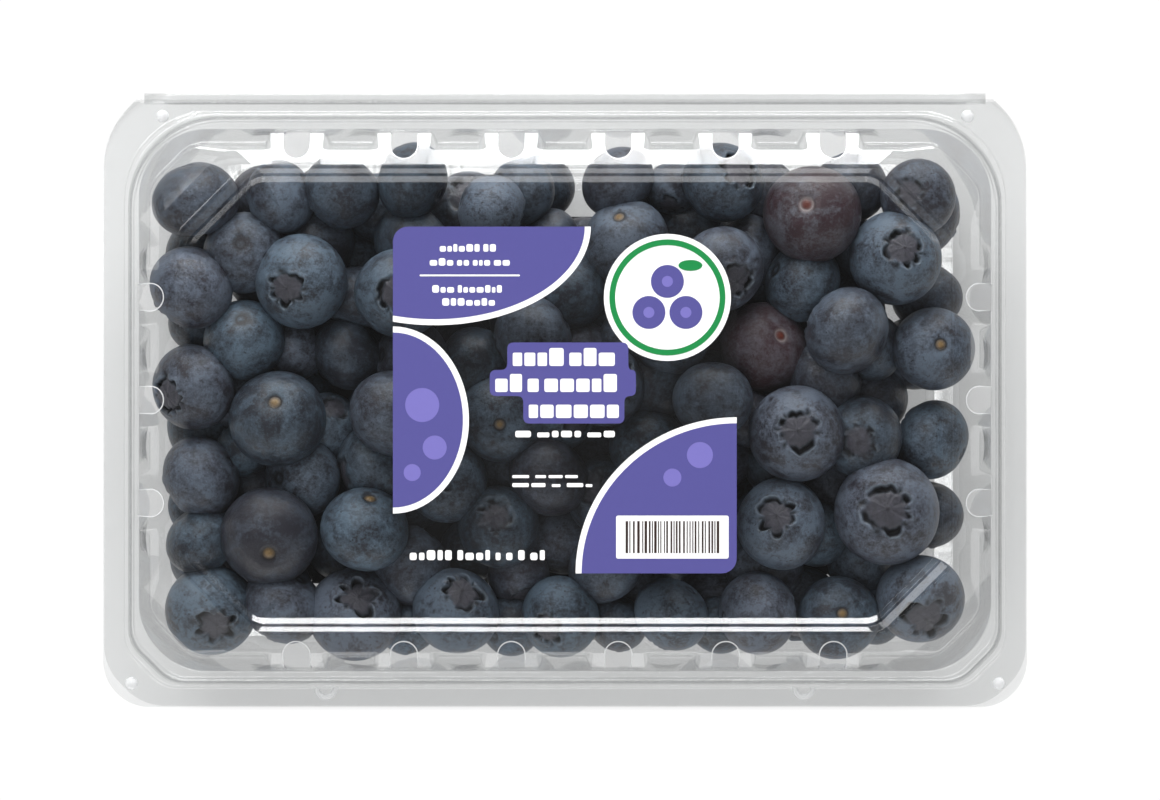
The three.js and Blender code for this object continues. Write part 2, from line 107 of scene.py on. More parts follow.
# The lid's levels from the flange inwards: half length and half depth, height, corner, and the
# radius that the sheet bends with there. Then how the bays stand out and narrow at some levels.
BEAD_TOP = LID_FLANGE_TOP + 2.2
SHELF_TOP = LID_FLANGE_TOP + 0.9
STEP_TOP = RIM_TOP - 0.9
LID_BAY_DEPTH = 2.5
LID_LEVELS = {
    "bead_outer_foot": ((89.2, 58.3), LID_FLANGE_TOP, BEAD_CORNER, 0.5),
    "bead_outer_top": ((88.7, 57.8), BEAD_TOP, BEAD_CORNER, 0.7),
    "bead_inner_top": ((87.3, 56.4), BEAD_TOP, BEAD_CORNER, 0.7),
    "shelf_outer": ((86.9, 56.0), SHELF_TOP, BEAD_CORNER, 0.5),
    "wall_foot": ((83.9, 51.9), SHELF_TOP, LID_WALL_CORNER, 0.6),
    "shoulder": ((83.2, 51.2), RIM_TOP - 5.0, LID_WALL_CORNER, 1.0),
    "slope": ((81.2, 50.55), RIM_TOP - 2.35, SLOPE_CORNER, 1.2),
    "rim_outer": ((77.6, 46.9), RIM_TOP, RIM_CORNER, 0.7),
    "rim_inner": ((77.0, 46.3), RIM_TOP, RIM_CORNER, 0.4),
    "step_outer": ((75.9, 45.2), STEP_TOP, RIM_CORNER, 0.6),
    "step_inner": ((75.5, 44.8), STEP_TOP, RIM_CORNER, 0.6),
    "panel": ((74.1, 43.5), PANEL_TOP, PANEL_CORNER, 0.4),
    "panel_flat": ((72.6, 42.0), PANEL_TOP, PANEL_CORNER, 0.0),
}
BAY_FORMS = {
    "wall_foot": {"bulge": LID_BAY_DEPTH},
    "shoulder": {"bulge": LID_BAY_DEPTH},
    "slope": {"bulge": 0.15, "taper": 0.93, "back": SLOPE_BACK},
    "rim_outer": {"taper": 0.8},
}

# Bays of the lid's wall, and the base's flutes: their middles, width and the run of their sides.
LID_BAYS = Sizes(long=(10.7, 32.2, 53.7), short=(-20.6, 0.0, 20.6), width=13.6, lead=1.6)
BASE_BAYS = Sizes(
    long=(20.5, 41.0, 61.0), short=(-28.0, -9.3, 9.3, 28.0), width=9.0, lead=3.0,
)

VENT = Sizes(width=5.3, reach=5.7, edge=0.35)
# The vents' cut edges get a pale band that is painted highlight, standing for their glints.
VENT_RIM = 0.22                  # width of the pale cut edge around a vent
DRAIN = Sizes(width=3.0, length=14.0, x=(-54, -18, 18, 54), y=(-24, 24))
BUTTON = Sizes(radius=2.4, inner=1.3, height=0.7, x=48.3, y=-58.2)
NUB = Sizes(radius=1.3, height=1.2, front=(87.7, -57.3), back=(81.4, 57.4))
LABEL = Sizes(width=68.7, depth=69.3, thickness=0.3, corner=3.0)

# ---- meshes ----


def new_object(name, data):
    """An object in the scene, for a mesh, a camera or a light."""
    added = bpy.data.objects.new(name, data)
    bpy.context.scene.collection.objects.link(added)
    return added


def make_object(name, points, faces, material, smooth=True):
    """A mesh object from points in millimetres."""
    mesh = bpy.data.meshes.new(name)
    mesh.from_pydata((np.asarray(points, float) * MM).tolist(), [], [list(face) for face in faces])
    mesh.validate()
    if material:
        mesh.materials.append(material)
    if smooth:
        mesh.shade_smooth()
    return new_object(name, mesh)


def grid_object(name, points, quads, material, attributes):
    """A smooth mesh object from arrays, with a named value at each point."""
    mesh = bpy.data.meshes.new(name)
    mesh.vertices.add(len(points))
    mesh.vertices.foreach_set("co", (points * MM).astype(np.float32).ravel())
    mesh.loops.add(quads.size)
    mesh.loops.foreach_set("vertex_index", quads.ravel().astype(np.int32))
    mesh.polygons.add(len(quads))
    mesh.polygons.foreach_set("loop_start", np.arange(0, quads.size, 4, dtype=np.int32))
    mesh.update(calc_edges=True)
    mesh.shade_smooth()
    for key, values in attributes.items():
        layer = mesh.attributes.new(key, "FLOAT", "POINT")
        layer.data.foreach_set("value", np.asarray(values, np.float32))
    mesh.materials.append(material)
    return new_object(name, mesh)


def bake_modifiers(piece):
    """Applies the modifiers of a piece to its mesh."""
    graph = bpy.context.evaluated_depsgraph_get()
    mesh = bpy.data.meshes.new_from_object(piece.evaluated_get(graph))
    piece.modifiers.clear()
    piece.data = mesh


def combine(piece, tool, operation):
    """Cuts a piece by the tool's solid, and removes the tool."""
    tool.data.materials.append(piece.data.materials[0])
    modifier = piece.modifiers.new(operation, "BOOLEAN")
    modifier.operation = operation
    modifier.solver = "MANIFOLD"
    modifier.object = tool
    bake_modifiers(piece)
    bpy.data.objects.remove(tool)


def finish_shell(piece, sharp_angle=40):
    """Smooth bends, flat flats and crisp cut edges.

    The modifier leaves out very small faces, so the mesh is in millimetres while it works.
    """
    piece.data.transform(Matrix.Scale(1 / MM, 4))
    piece.data.shade_smooth()
    piece.data.set_sharp_from_angle(angle=math.radians(sharp_angle))
    modifier = piece.modifiers.new("flats", "WEIGHTED_NORMAL")
    modifier.keep_sharp = True
    bake_modifiers(piece)
    piece.data.transform(Matrix.Scale(MM, 4))


def ring_faces(rings, count, first=0):
    """Faces between rings that follow each other, with so many points each, from a first index."""
    faces = []
    for row in range(rings - 1):
        for k in range(count):
            a = first + row * count + k
            b = first + row * count + (k + 1) % count
            faces.append((a, b, b + count, a + count))
    return faces


def prism(outline, low, high):
    """Points and faces of an upright prism over an outline."""
    count = len(outline)
    points = [(x, y, z) for z in (low, high) for x, y in outline]
    ends = (tuple(range(count - 1, -1, -1)), tuple(range(count, 2 * count)))
    return points, [ends[0], *ring_faces(2, count), ends[1]]


def ellipse(cx, cy, rx, ry, angles):
    """Points of an ellipse about a centre, at some angles."""
    return [(cx + rx * math.cos(a), cy + ry * math.sin(a)) for a in angles]


def placed(shape, x, y, turn):
    """A plane shape turned about its origin and moved to a place."""
    c, s = math.cos(turn), math.sin(turn)
    return [(x + px * c - py * s, y + px * s + py * c) for px, py in shape]


def curve(start, middle, end, steps):
    """Points of a bend from start to end, drawn towards the middle."""
    return [(1 - s) ** 2 * start + 2 * s * (1 - s) * middle + s * s * end
            for s in np.linspace(0, 1, steps)]


def joined(parts):
    """One list of points and one of faces from several."""
    points, faces = [], []
    for part_points, part_faces in parts:
        faces += [tuple(index + len(points) for index in face) for face in part_faces]
        points += [tuple(point) for point in part_points]
    return points, faces


# ---- shells ----

# Where these stand among the values of a level.
X, FRONT, BACK, Z, CUT, BACK_CUT, TOP, BEND = 0, 1, 2, 3, 4, 6, 8, 11
# A flat cap's inner ring has one point for so many of the outline's, so far out.
CAP = Sizes(stride=9, inner=0.93)
CUT_CHANGE = 0.2                 # of a corner, from one face of the sheet to the other
MOST_FILLET = 0.96 * 1.707       # of the straight cut: its two fillets would meet at 1.707


def corner_shape(cut, roundness):
    """The straight cut and the fillets at its ends that together make a corner."""
    straight = cut * (1 - TURN * roundness)
    fillet = roundness * cut + (1 - roundness) * LEAST_CORNER_RADIUS
    return straight, min(fillet, MOST_FILLET * straight)


def level(size, z, corner, bulge=0.0, bend=0.0, back=None, taper=1.0):
    """One level of a shell: half sizes, height, corners, how far its bays stand out and how
    narrow they have become, and the radius that the sheet bends with there."""
    x, y = size
    cut, fillet = corner_shape(corner["cut"], corner["round"])
    if "back_cut" in corner:
        back_cut, back_fillet = corner_shape(corner["back_cut"], 1.0)
    else:
        back_cut, back_fillet = cut, fillet
    edge = y if back is None else back
    top = corner.get("back_top", y)
    return np.array((x, y, edge, z, cut, fillet, back_cut, back_fillet, top, bulge, taper, bend))


def corner_points(x, top, cut, fillet, edge):
    """Points of a corner at +x from the side to the edge, for a corner that ends at y = top."""
    reach = cut + TURN * fillet
    sweep = math.asin(min(1.0, (edge - (top - fillet)) / fillet))
    points = []
    for cx, cy, start, end in (
        (x - fillet, top - reach, 0, math.pi / 4), (x - reach, top - fillet, math.pi / 4, sweep),
    ):
        points += ellipse(cx, cy, fillet, fillet, np.linspace(start, end, CORNER_STEPS))
    return points


def bay_samples(bays, taper):
    """Places along a bay from its middle, with how far out it is there, from 0 to 1."""
    half = bays.width / 2
    ramp = np.array((0, 0.1, 0.25, 0.42, 0.58, 0.75, 0.9, 1))
    height = ramp * ramp * (3 - 2 * ramp)
    along = -half + bays.lead * ramp
    middle = np.array((-0.5, 0, 0.5)) * (half - bays.lead)
    offsets = np.concatenate((along, middle, -along[::-1])) * taper
    return offsets, np.concatenate((height, np.ones(3), height[::-1]))


def outline(values, bays):
    """The plan of a level, counterclockwise from the middle of the front."""
    x, front, back, _, cut, fillet, back_cut, back_fillet, top, bulge, taper, _ = values
    offsets, heights = bay_samples(bays, taper)
    bay = list(zip(offsets, heights))
    right = [(centre + o, -front - h * bulge) for centre in bays.long for o, h in bay]
    right += [(px, -py) for px, py in reversed(corner_points(x, front, cut, fillet, front))]
    right += [(x + h * bulge, centre + o) for centre in bays.short for o, h in bay]
    right += corner_points(x, top, back_cut, back_fillet, back)
    right += [(centre - o, back + h * bulge) for centre in reversed(bays.long) for o, h in bay]
    left = [(-px, py) for px, py in reversed(right)]
    return np.array(right + left)


def bent(levels, steps=5, longest=3.0):
    """Rounds the profile at each level by its bend radius and divides long stretches."""
    def across(a, b):
        return math.hypot(a[X] - b[X], a[Z] - b[Z])

    fine = [levels[0]]
    for before, here, after in zip(levels, levels[1:], levels[2:]):
        radius = here[BEND]
        down, up = across(here, before), across(here, after)
        if radius <= 0 or down < 1e-6 or up < 1e-6:
            fine.append(here)
            continue
        u = (before - here)[[X, Z]] / down
        v = (after - here)[[X, Z]] / up
        half_angle = math.acos(max(-1.0, min(1.0, float(u @ v)))) / 2
        reach = min(radius / max(math.tan(half_angle), 1e-3), 0.46 * down, 0.46 * up)
        start = here + (before - here) * reach / down
        end = here + (after - here) * reach / up
        fine += curve(start, here, end, steps)
    fine.append(levels[-1])
    dense = [fine[0]]
    for a, b in zip(fine, fine[1:]):
        parts = max(1, int(across(a, b) / longest)) if abs(a[Z] - b[Z]) > 1 else 1
        dense += [a + (b - a) * part / parts for part in range(1, parts + 1)]
    return dense


def other_side(levels, side):
    """The far face of the sheet: each level moved by the sheet's thickness, square to it."""
    moved = []
    for index, here in enumerate(levels):
        before = levels[max(index - 1, 0)]
        after = levels[min(index + 1, len(levels) - 1)]
        shifted = here.copy()
        for field in (X, FRONT, BACK):
            run = np.array((before[field] - after[field], after[Z] - before[Z]))
            length = np.linalg.norm(run)
            out, up = (-run[1] / length, -run[0] / length) if length > 1e-9 else (0.0, -1.0)
            shifted[field] = here[field] + SHEET * out
            if field == X:
                shifted[Z] = here[Z] + SHEET * up
        shifted[TOP] += shifted[BACK] - here[BACK]
        shifted[[CUT, BACK_CUT]] -= side * CUT_CHANGE
        moved.append(shifted)
    return moved


def flat_cap(ring, z, start, count_before, upwards):
    """Points and faces that close a ring, whose own points start at an index, with a flat cap."""
    total = len(ring)
    picks = list(range(0, total, CAP.stride))
    points = [(*(ring[k] * CAP.inner), z) for k in picks] + [(0, 0, z)]
    middle = count_before + len(picks)
    faces = []
    for j, k in enumerate(picks):
        until = picks[j + 1] if j + 1 < len(picks) else total
        here = count_before + j
        there = count_before + (j + 1) % len(picks)
        edge = [start + i % total for i in range(k, until + 1)]
        faces += [(*edge, there, here), (here, there, middle)]
    return points, faces if upwards else [face[::-1] for face in faces]


def loft(levels, bays):
    """Points and faces of the closed body through the levels, from the first cap to the last."""
    rings = [outline(values, bays) for values in levels]
    count = len(rings[0])
    points = [(x, y, values[Z]) for ring, values in zip(rings, levels) for x, y in ring]
    faces = ring_faces(len(rings), count)
    for row, upwards in ((0, False), (len(rings) - 1, True)):
        z = levels[row][Z]
        cap_points, cap_faces = flat_cap(rings[row], z, row * count, len(points), upwards)
        points += cap_points
        faces += cap_faces
    return points, faces


# ---- lid ----

EDGE_BEVEL = 0.12


def flange_edge(size, back, corner, low, high):
    """The flange's rounded outer edge, from its lower face to its upper one."""
    def at(inset, z):
        return level((size[0] - inset, size[1] - inset), z, corner, back=back - inset)

    return [
        at(2 * EDGE_BEVEL, low),
        at(EDGE_BEVEL / 3, low + EDGE_BEVEL),
        at(0, (low + high) / 2),
        at(EDGE_BEVEL / 3, high - EDGE_BEVEL),
        at(2 * EDGE_BEVEL, high),
    ]


def lid_levels():
    """The lid's upper face inside the flange, from the bead at its foot to the panel."""
    return [level(size, z, corner, bend=bend, **BAY_FORMS.get(name, {}))
            for name, (size, z, corner, bend) in LID_LEVELS.items()]


def vent_cutter(x, y, turn, grow):
    """A slot, square towards the flange and round towards the panel, widened at its arc by grow."""
    half = VENT.width / 2 + grow
    foot = VENT.width / 2
    centre = VENT.width / 2 - VENT.reach
    round_end = ellipse(0, centre, half, half, np.linspace(math.pi, 2 * math.pi, 19))
    shape = [(-foot, 0), *round_end, (foot, 0)]
    return prism(placed(shape, x, y, turn), LID_BOTTOM - grow, RIM_TOP + grow)


def vent_cutters(grow=0.0):
    """One cutter in each bay."""
    out_x, out_y = (half + LID_BAY_DEPTH - VENT.edge for half in LID_LEVELS["wall_foot"][0])
    cutters = []
    for side in (-1, 1):
        for place in LID_BAYS.short:
            cutters.append(vent_cutter(side * out_x, place, -side * math.pi / 2, grow))
        for place in LID_BAYS.long:
            cutters.append(vent_cutter(side * place, out_y, 0, grow))
            cutters.append(vent_cutter(side * place, -out_y, math.pi, grow))
    return make_object("vents", *joined(cutters), None)


def lathe(profile, x, y, z, sides=28):
    """A closed turned body from a profile of (radius, height) that starts and ends on its axis."""
    angles = [2 * math.pi * k / sides for k in range(sides)]
    points = [(x, y, z + profile[0][1])]
    points += [(x + radius * math.cos(a), y + radius * math.sin(a), z + height)
               for radius, height in profile[1:-1] for a in angles]
    points.append((x, y, z + profile[-1][1]))
    faces = [(0, 1 + (k + 1) % sides, 1 + k) for k in range(sides)]
    faces += ring_faces(len(profile) - 2, sides, 1)
    top = len(points) - 1
    last = top - sides
    faces += [(top, last + k, last + (k + 1) % sides) for k in range(sides)]
    return points, faces


def turned_arc(section, x, y, z, start, end, sides=30):
    """A body turned from start to end, in degrees, from a counterclockwise section of
    (radius, height)."""
    count = len(section)
    points = [(x + radius * math.cos(a), y + radius * math.sin(a), z + height)
              for a in np.radians(np.linspace(start, end, sides + 1)) for radius, height in section]
    faces = [tuple(range(count)), tuple(range((sides + 1) * count - 1, sides * count - 1, -1))]
    faces += [(a, d, c, b) for a, b, c, d in ring_faces(sides + 1, count)]
    return points, faces


def snap_parts():
    """The snap buttons, which are half rings beside the bead, and the nubs near the corners."""
    root = -0.05
    middle = (BUTTON.radius + BUTTON.inner) / 2
    half = (BUTTON.radius - BUTTON.inner) / 2
    button = ellipse(middle, 0, half, BUTTON.height, np.linspace(0, math.pi, 9))
    button += [(middle - half, root), (middle + half, root)]
    rise = ellipse(0, 0, NUB.radius, NUB.height, np.linspace(0, 1.45, 7))
    nub = [(0, root), (NUB.radius, root), *rise, (0, NUB.height)]
    parts = []
    for side in (-1, 1):
        parts.append(turned_arc(button, side * BUTTON.x, BUTTON.y, LID_FLANGE_TOP, -180, 0))
        for x, y in (NUB.front, NUB.back):
            parts.append(lathe(nub, side * x, y, LID_FLANGE_TOP))
    return parts


def formed_sheet(edge, levels, side, bays):
    """Points and faces of a sheet from its flange's edge over its upper levels, and back below."""
    upper = bent([edge[-1], *levels])
    lower = other_side(upper, side)[1:]
    return loft([*reversed(lower), *edge[:-1], *upper], bays)


def make_lid(material, cut_edge, snap_material):
    size = (HALF_X - GAP, HALF_Y - GAP)
    edge = flange_edge(size, LID_BACK, LID_FLANGE_CORNER, LID_BOTTOM, LID_FLANGE_TOP)
    points, faces = formed_sheet(edge, lid_levels(), 1, LID_BAYS)
    shell = make_object("lid_shell", points, faces, material)
    combine(shell, vent_cutters(VENT_RIM), "DIFFERENCE")
    # The vent rims: the band around each vent, in plastic painted with the edge's glint.
    rims = make_object("vent_rims", points, faces, cut_edge)
    combine(rims, vent_cutters(VENT_RIM), "INTERSECT")
    combine(rims, vent_cutters(), "DIFFERENCE")
    snaps = make_object("snap_parts", *joined(snap_parts()), snap_material)
    for piece in (shell, rims, snaps):
        finish_shell(piece)
        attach(piece, "lid")
    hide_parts("punnet_lid")


# ---- base ----


def wall_at(z):
    """Half length and half depth of the sloping wall's inner face at a height."""
    share = min((z - SHEET) / (FLANGE_TOP - SHEET), 1)
    return tuple(foot + (top - foot) * share for foot, top in zip(WALL_FOOT, WALL_TOP))


def base_levels():
    """The base's inner face inside the flange: snap ridge, fluted wall, foot and floor."""
    tray = {"cut": TRAY_CORNER, "round": 1.0}

    def on_wall(z, bulge, bend=0.0, taper=1.0):
        return level(wall_at(z), z, tray, bulge, bend, taper=taper)

    def in_foot(inset, z, bend=0.0):
        corner = {"cut": TRAY_CORNER - inset, "round": 1.0}
        return level((WALL_FOOT[0] - inset, WALL_FOOT[1] - inset), z, corner, bend=bend)

    # A flute ends in a half ellipse: at each share of its rise it is so deep and so wide.
    rise = FLUTE.end - FLUTE.head
    heads = []
    for share in (0.97, 0.85, 0.65, 0.4, 0.15):
        width = math.sqrt(1 - share * share)
        heads.append(on_wall(FLUTE.head + share * rise, FLUTE.depth * width, taper=width))
    inner = FOOT.bend + FOOT.width
    return [
        *(level(size, z, BEAD_CORNER, bend=0.1) for size, z in RIDGE),
        level(wall_at(FLANGE_TOP), FLANGE_TOP, tray, bend=0.8),
        on_wall(FLUTE.end + 0.3, 0.0, taper=0.1),
        *heads,
        on_wall(FLUTE.head, FLUTE.depth),
        on_wall(FLUTE.foot, FLUTE.depth, bend=0.8),
        in_foot(FOOT.bend, SHEET, bend=0.5),
        in_foot(inner, SHEET, bend=0.5),
        in_foot(inner + FOOT.rise, FLOOR_TOP, bend=0.5),
        in_foot(inner + 2 * FOOT.rise, FLOOR_TOP),
    ]


def drain_cutter(x, y):
    """A slot along x with round ends."""
    half = (DRAIN.length - DRAIN.width) / 2
    radius = DRAIN.width / 2
    shape = []
    for middle, start in ((x + half, -math.pi / 2), (x - half, math.pi / 2)):
        shape += ellipse(middle, y, radius, radius, np.linspace(start, start + math.pi, 9))
    return prism(shape, 0, 2 * FLOOR_TOP)


def make_base(material):
    size = (HALF_X, HALF_Y)
    edge = flange_edge(size, BASE_BACK, BASE_FLANGE_CORNER, FLANGE_TOP - SHEET, FLANGE_TOP)
    shell = make_object("base_shell", *formed_sheet(edge, base_levels(), -1, BASE_BAYS), material)
    drains = [drain_cutter(x, y) for x in DRAIN.x for y in DRAIN.y]
    combine(shell, make_object("drains", *joined(drains), None), "DIFFERENCE")
    finish_shell(shell)
    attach(shell, "base")
    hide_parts("punnet_base")


HINGE_WEB = Sizes(sheet=0.25, flat=1.6, stations=25)


def make_hinge(material):
    """The living hinge: a thin web that rolls from the base's flange to the lid's."""
    turns = np.linspace(-math.pi / 2, math.pi / 2, 13)
    low = FLANGE_TOP - SHEET / 2
    high = LID_BOTTOM + SHEET / 2
    middle = (low + high) / 2
    stretch = (high - low) / 2 / (HINGE_RADIUS - HINGE_WEB.sheet / 2)
    flat_end = HINGE_Y - HINGE_WEB.flat

    def rolled(radius):
        line = ellipse(HINGE_Y, middle, radius, radius * stretch, turns)
        return [(flat_end, line[0][1]), *line, (flat_end, line[-1][1])]

    outer_line = rolled(HINGE_RADIUS)
    section = outer_line + rolled(HINGE_RADIUS - HINGE_WEB.sheet)[::-1]
    count, half, stations = len(section), len(outer_line), HINGE_WEB.stations
    points = [(x, y, z) for x in np.linspace(-HINGE_HALF, HINGE_HALF, stations) for y, z in section]
    faces = ring_faces(stations, count)
    last = (stations - 1) * count
    for k in range(half - 1):
        faces.append((k + 1, k, count - 1 - k, count - 2 - k))
        faces.append((last + k, last + k + 1, last + count - 2 - k, last + count - 1 - k))
    strip = make_object("hinge_web", points, faces, material)
    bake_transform(strip)


# ---- blueberries ----

# The berries that show from above, with their homes as in the CAD: x, y, radius, how high they
# sit from 0 to 2, and how much bloom they have from 0 to 1, or R for a reddish one. Then for some
# of them the crown or the stem scar that shows, and how far off the berry's middle it is.
# The front row, near y = -44, has high bloom: partly the berries' own, partly painted light that
# lightens them where the lamps leave them in shade.
TOP_BERRIES = [
    (-75.3, 40.7, 8.9, 1, 0.45), (-61.3, 40.9, 8.5, 0, 0.35), (-45.5, 42.5, 8.1, 1, 0.4),
    (-30.0, 42.5, 7.9, 1, 0.35), (-15.0, 38.3, 7.3, 2, 1.0), (-5.1, 43.5, 7.1, 0, 0.4),
    (-3.0, 33.0, 6.6, 0, 0.3), (12.3, 32.4, 8.9, 1, 0.75, "scar", -0.18, 0.66),
    (12.0, 42.6, 7.7, 0, 0.4), (31.4, 41.1, 8.3, 1, 0.5, "crown", 0.49, 0.32),
    (49.8, 38.1, 10.1, 2, "R", "scar", -0.16, 0.2), (59.5, 42.0, 7.6, 0, 0.3),
    (74.9, 38.5, 8.5, 1, 0.6), (67.2, 28.7, 9.5, 2, 0.8, "crown", 0.15, 0.23),
    (31.2, 26.7, 8.9, 1, 0.6, "crown", 0.39, -0.34), (43.5, 22.3, 7.7, 0, 0.2),
    (57.5, 14.8, 9.1, 1, 0.45), (40.5, 11.1, 9.3, 1, "R", "scar", 0.46, 0.3),
    (75.5, 10.7, 8.5, 1, 0.65, "scar", 0.1, 0.1), (75.4, 20.8, 7.4, 0, 0.4),
    (22.3, 14.2, 8.1, 1, 0.7, "crown", 0.37, -0.1), (62.1, 0.4, 8.7, 0, 0.45),
    (47.2, -6.7, 9.7, 2, 0.8, "crown", -0.04, 0.06), (75.9, -8.1, 8.1, 1, 0.65),
    (65.8, -23.1, 10.7, 2, 0.75, "crown", -0.02, 0.08),
    (43.7, -25.1, 9.3, 1, 0.75, "crown", -0.15, 0.26), (31.4, -12.1, 7.1, 0, 0.3),
    (72.3, -40.5, 9.1, 1, 0.85, "crown", 0.09, -0.49), (73.6, -23.5, 7.9, 0, 0.4),
    (16.8, -25.3, 8.5, 1, 0.65), (-1.0, -29.3, 8.1, 1, 0.55), (21.7, -43.5, 8.1, 1, 0.9),
    (39.5, -43.5, 8.5, 1, 0.85), (55.3, -44.1, 8.5, 0, 0.5, "scar", 0.1, 0.15),
    (-72.3, -42.7, 9.3, 2, 0.8, "crown", 0.22, -0.37), (-74.4, -32.4, 7.7, 0, 0.5),
    (-73.9, -15.8, 8.5, 1, 0.55), (-58.1, -4.0, 9.9, 2, 0.35, "scar", -0.04, 0.41),
    (-60.1, -27.5, 10.1, 1, 0.12, "scar", 0.04, -0.4),
    (-40.5, -27.1, 9.1, 1, 0.6, "scar", 0.13, 0.84),
    (-42.7, -44.1, 9.5, 1, 0.9, "crown", 0.13, 0.45),
    (-22.3, -42.9, 8.9, 1, 0.9, "crown", 0.18, 0.55), (-47.6, -14.6, 7.7, 0, 0.1),
    (-35.0, -2.6, 9.1, 1, 0.5), (-13.2, -4.0, 8.9, 1, 0.6, "scar", -0.02, -0.16),
    (-75.9, 22.9, 8.7, 1, 0.7), (-76.3, 2.4, 8.9, 1, 0.6, "crown", -0.64, -0.23),
    (-66.4, 13.2, 7.7, 0, 0.45), (-53.6, 23.9, 9.5, 2, 0.85, "crown", -0.32, -0.19),
    (-44.5, 9.3, 7.7, 1, 0.2), (-33.0, 22.0, 9.1, 1, 0.7, "crown", -0.09, -0.02),
    (-22.3, 10.1, 7.7, 0, 0.3), (5.1, -12.5, 7.9, 0, 0.4), (-17.5, 25.0, 8.3, 1, 0.6),
    (-6.5, 13.0, 8.3, 1, 0.6), (8.0, 17.5, 7.9, 0, 0.4), (8.5, 2.5, 8.3, 1, 0.6, "crown", 0.4, 0.2),
    (-24.0, -16.5, 8.3, 1, 0.5, "crown", -0.3, 0.3), (-18.5, -30.0, 7.9, 0, 0.4),
    (30.0, 0.5, 8.1, 1, 0.5), (28.5, -28.0, 7.7, 0, 0.4),
    (16.5, -9.5, 7.9, 1, 0.5, "scar", 0.2, 0.1), (-1.0, -44.0, 8.3, 1, 0.8, "crown", -0.4, -0.3),
]
LEVEL_Z = (20, 25, 29)
HEAP_TOP = 38.3
HEAP_FLOOR = FLOOR_TOP + GAP
HEAP_SHOULDER = Sizes(x=58, y=28, run=14, drop=3.4)
WALL_ROOM = 0.7
LOWER_ROWS = Sizes(
    columns=9, rows=5, pitch_x=18, pitch_y=20, stagger=0.25,
    z=11, radius=8.4, drift=3, clear=9,
)
SETTLE = Sizes(rounds=400, share=0.35, tether=0.15, sink=0.03, seed=7)


def seeded(seed):
    """The CAD's own stream of random numbers from 0 to 1."""
    state = seed

    def draw():
        nonlocal state
        state = state * 16807 % 2147483647
        return state / 2147483647

    return draw


def lower_berries(draw):
    """Rows of berries under the ones that show."""
    rows = LOWER_ROWS
    sunken = [berry for berry in TOP_BERRIES if berry[3] == 0]
    berries = []
    for row in range(rows.rows):
        shift = rows.stagger if row % 2 else -rows.stagger
        for column in range(rows.columns):
            x = (column - (rows.columns - 1) / 2 + shift) * rows.pitch_x
            x += (draw() - 0.5) * rows.drift
            y = (row - (rows.rows - 1) / 2) * rows.pitch_y
            y += (draw() - 0.5) * rows.drift
            radius = rows.radius + (draw() - 0.5)
            if any(math.hypot(berry[0] - x, berry[1] - y) < rows.clear for berry in sunken):
                continue
            berries.append([x, y, rows.z, radius])
    return berries


def contain(berry):
    """Keeps a berry between the floor, the sloping walls, the round corners and the heap's top."""
    x, y, z, radius = berry
    run = HEAP_SHOULDER.run
    outwards = max((abs(x) - HEAP_SHOULDER.x) / run, (abs(y) - HEAP_SHOULDER.y) / run, 0)
    top = HEAP_TOP - HEAP_SHOULDER.drop * min(outwards, 1)
    berry[2] = min(max(z, HEAP_FLOOR + radius), top - radius)
    room = TRAY_CORNER - (radius + WALL_ROOM)
    straight = [half - TRAY_CORNER for half in wall_at(berry[2])]
    over = [max(abs(value) - limit, 0) for value, limit in zip(berry, straight)]
    distance = math.hypot(*over)
    if distance <= room:
        return
    for axis in (0, 1):
        if over[axis] > 0:
            held = straight[axis] + over[axis] * room / distance
            berry[axis] = math.copysign(held, berry[axis])


def settled_berries():
    """Pushes overlapping berries apart, draws the top ones back home and lets all sink."""
    lower = lower_berries(seeded(SETTLE.seed))
    berries = lower + [[x, y, LEVEL_Z[high], radius] for x, y, radius, high, *_ in TOP_BERRIES]
    homes = [None] * len(lower) + [(berry[0], berry[1]) for berry in TOP_BERRIES]
    share, tether, sink = SETTLE.share, SETTLE.tether, SETTLE.sink
    for _ in range(SETTLE.rounds):
        for i, a in enumerate(berries):
            for b in berries[i + 1:]:
                reach = a[3] + b[3]
                dx = b[0] - a[0]
                if dx > reach or dx < -reach:
                    continue
                dy = b[1] - a[1]
                dz = b[2] - a[2]
                distance = math.sqrt(dx * dx + dy * dy + dz * dz)
                if distance >= reach:
                    continue
                push = share * (reach - distance) / distance
                for axis, move in enumerate((dx, dy, dz)):
                    a[axis] -= push * move
                    b[axis] += push * move
        for berry, home in zip(berries, homes):
            berry[2] -= sink
            if home:
                berry[0] += tether * (home[0] - berry[0])
                berry[1] += tether * (home[1] - berry[1])
            contain(berry)
    return berries[:len(lower)], berries[len(lower):]


FLATNESS = (0.84, 0.95)          # a berry's height over its width
CROWN = Sizes(radius=0.42, lip=0.045, slit=0.13, sink=0.03, star=(0.03, 0.24))
SCAR = Sizes(radius=0.115, dimple=0.06)

# Columns around a berry, and rows over its crown, its middle and its stem end.
CROWNED = (80, 26, 22, 6)
PLAIN = (48, 10, 22, 9)
HIDDEN = (32, 8, 16, 4)
BOUNDS = (0.02, 0.66, 2.8, math.pi - 0.01)   # angles from the crown's end between those parts


def polar_rows(crown, middle, stem):
    """Angles from the crown's end to the stem's, closest together at both ends."""
    return np.concatenate((
        np.linspace(BOUNDS[0], BOUNDS[1], crown, endpoint=False),
        np.linspace(BOUNDS[1], BOUNDS[2], middle, endpoint=False),
        np.linspace(BOUNDS[2], BOUNDS[3], stem),
    ))


def bell(values, middle, width):
    return np.exp(-((values - middle) / width) ** 2)


def ripple(rng, phi, *waves):
    """An uneven line around the axis, from waves of (count, size) with seeded places."""
    return sum(size * np.cos(count * phi + rng.uniform(0, 6.3)) for count, size in waves)


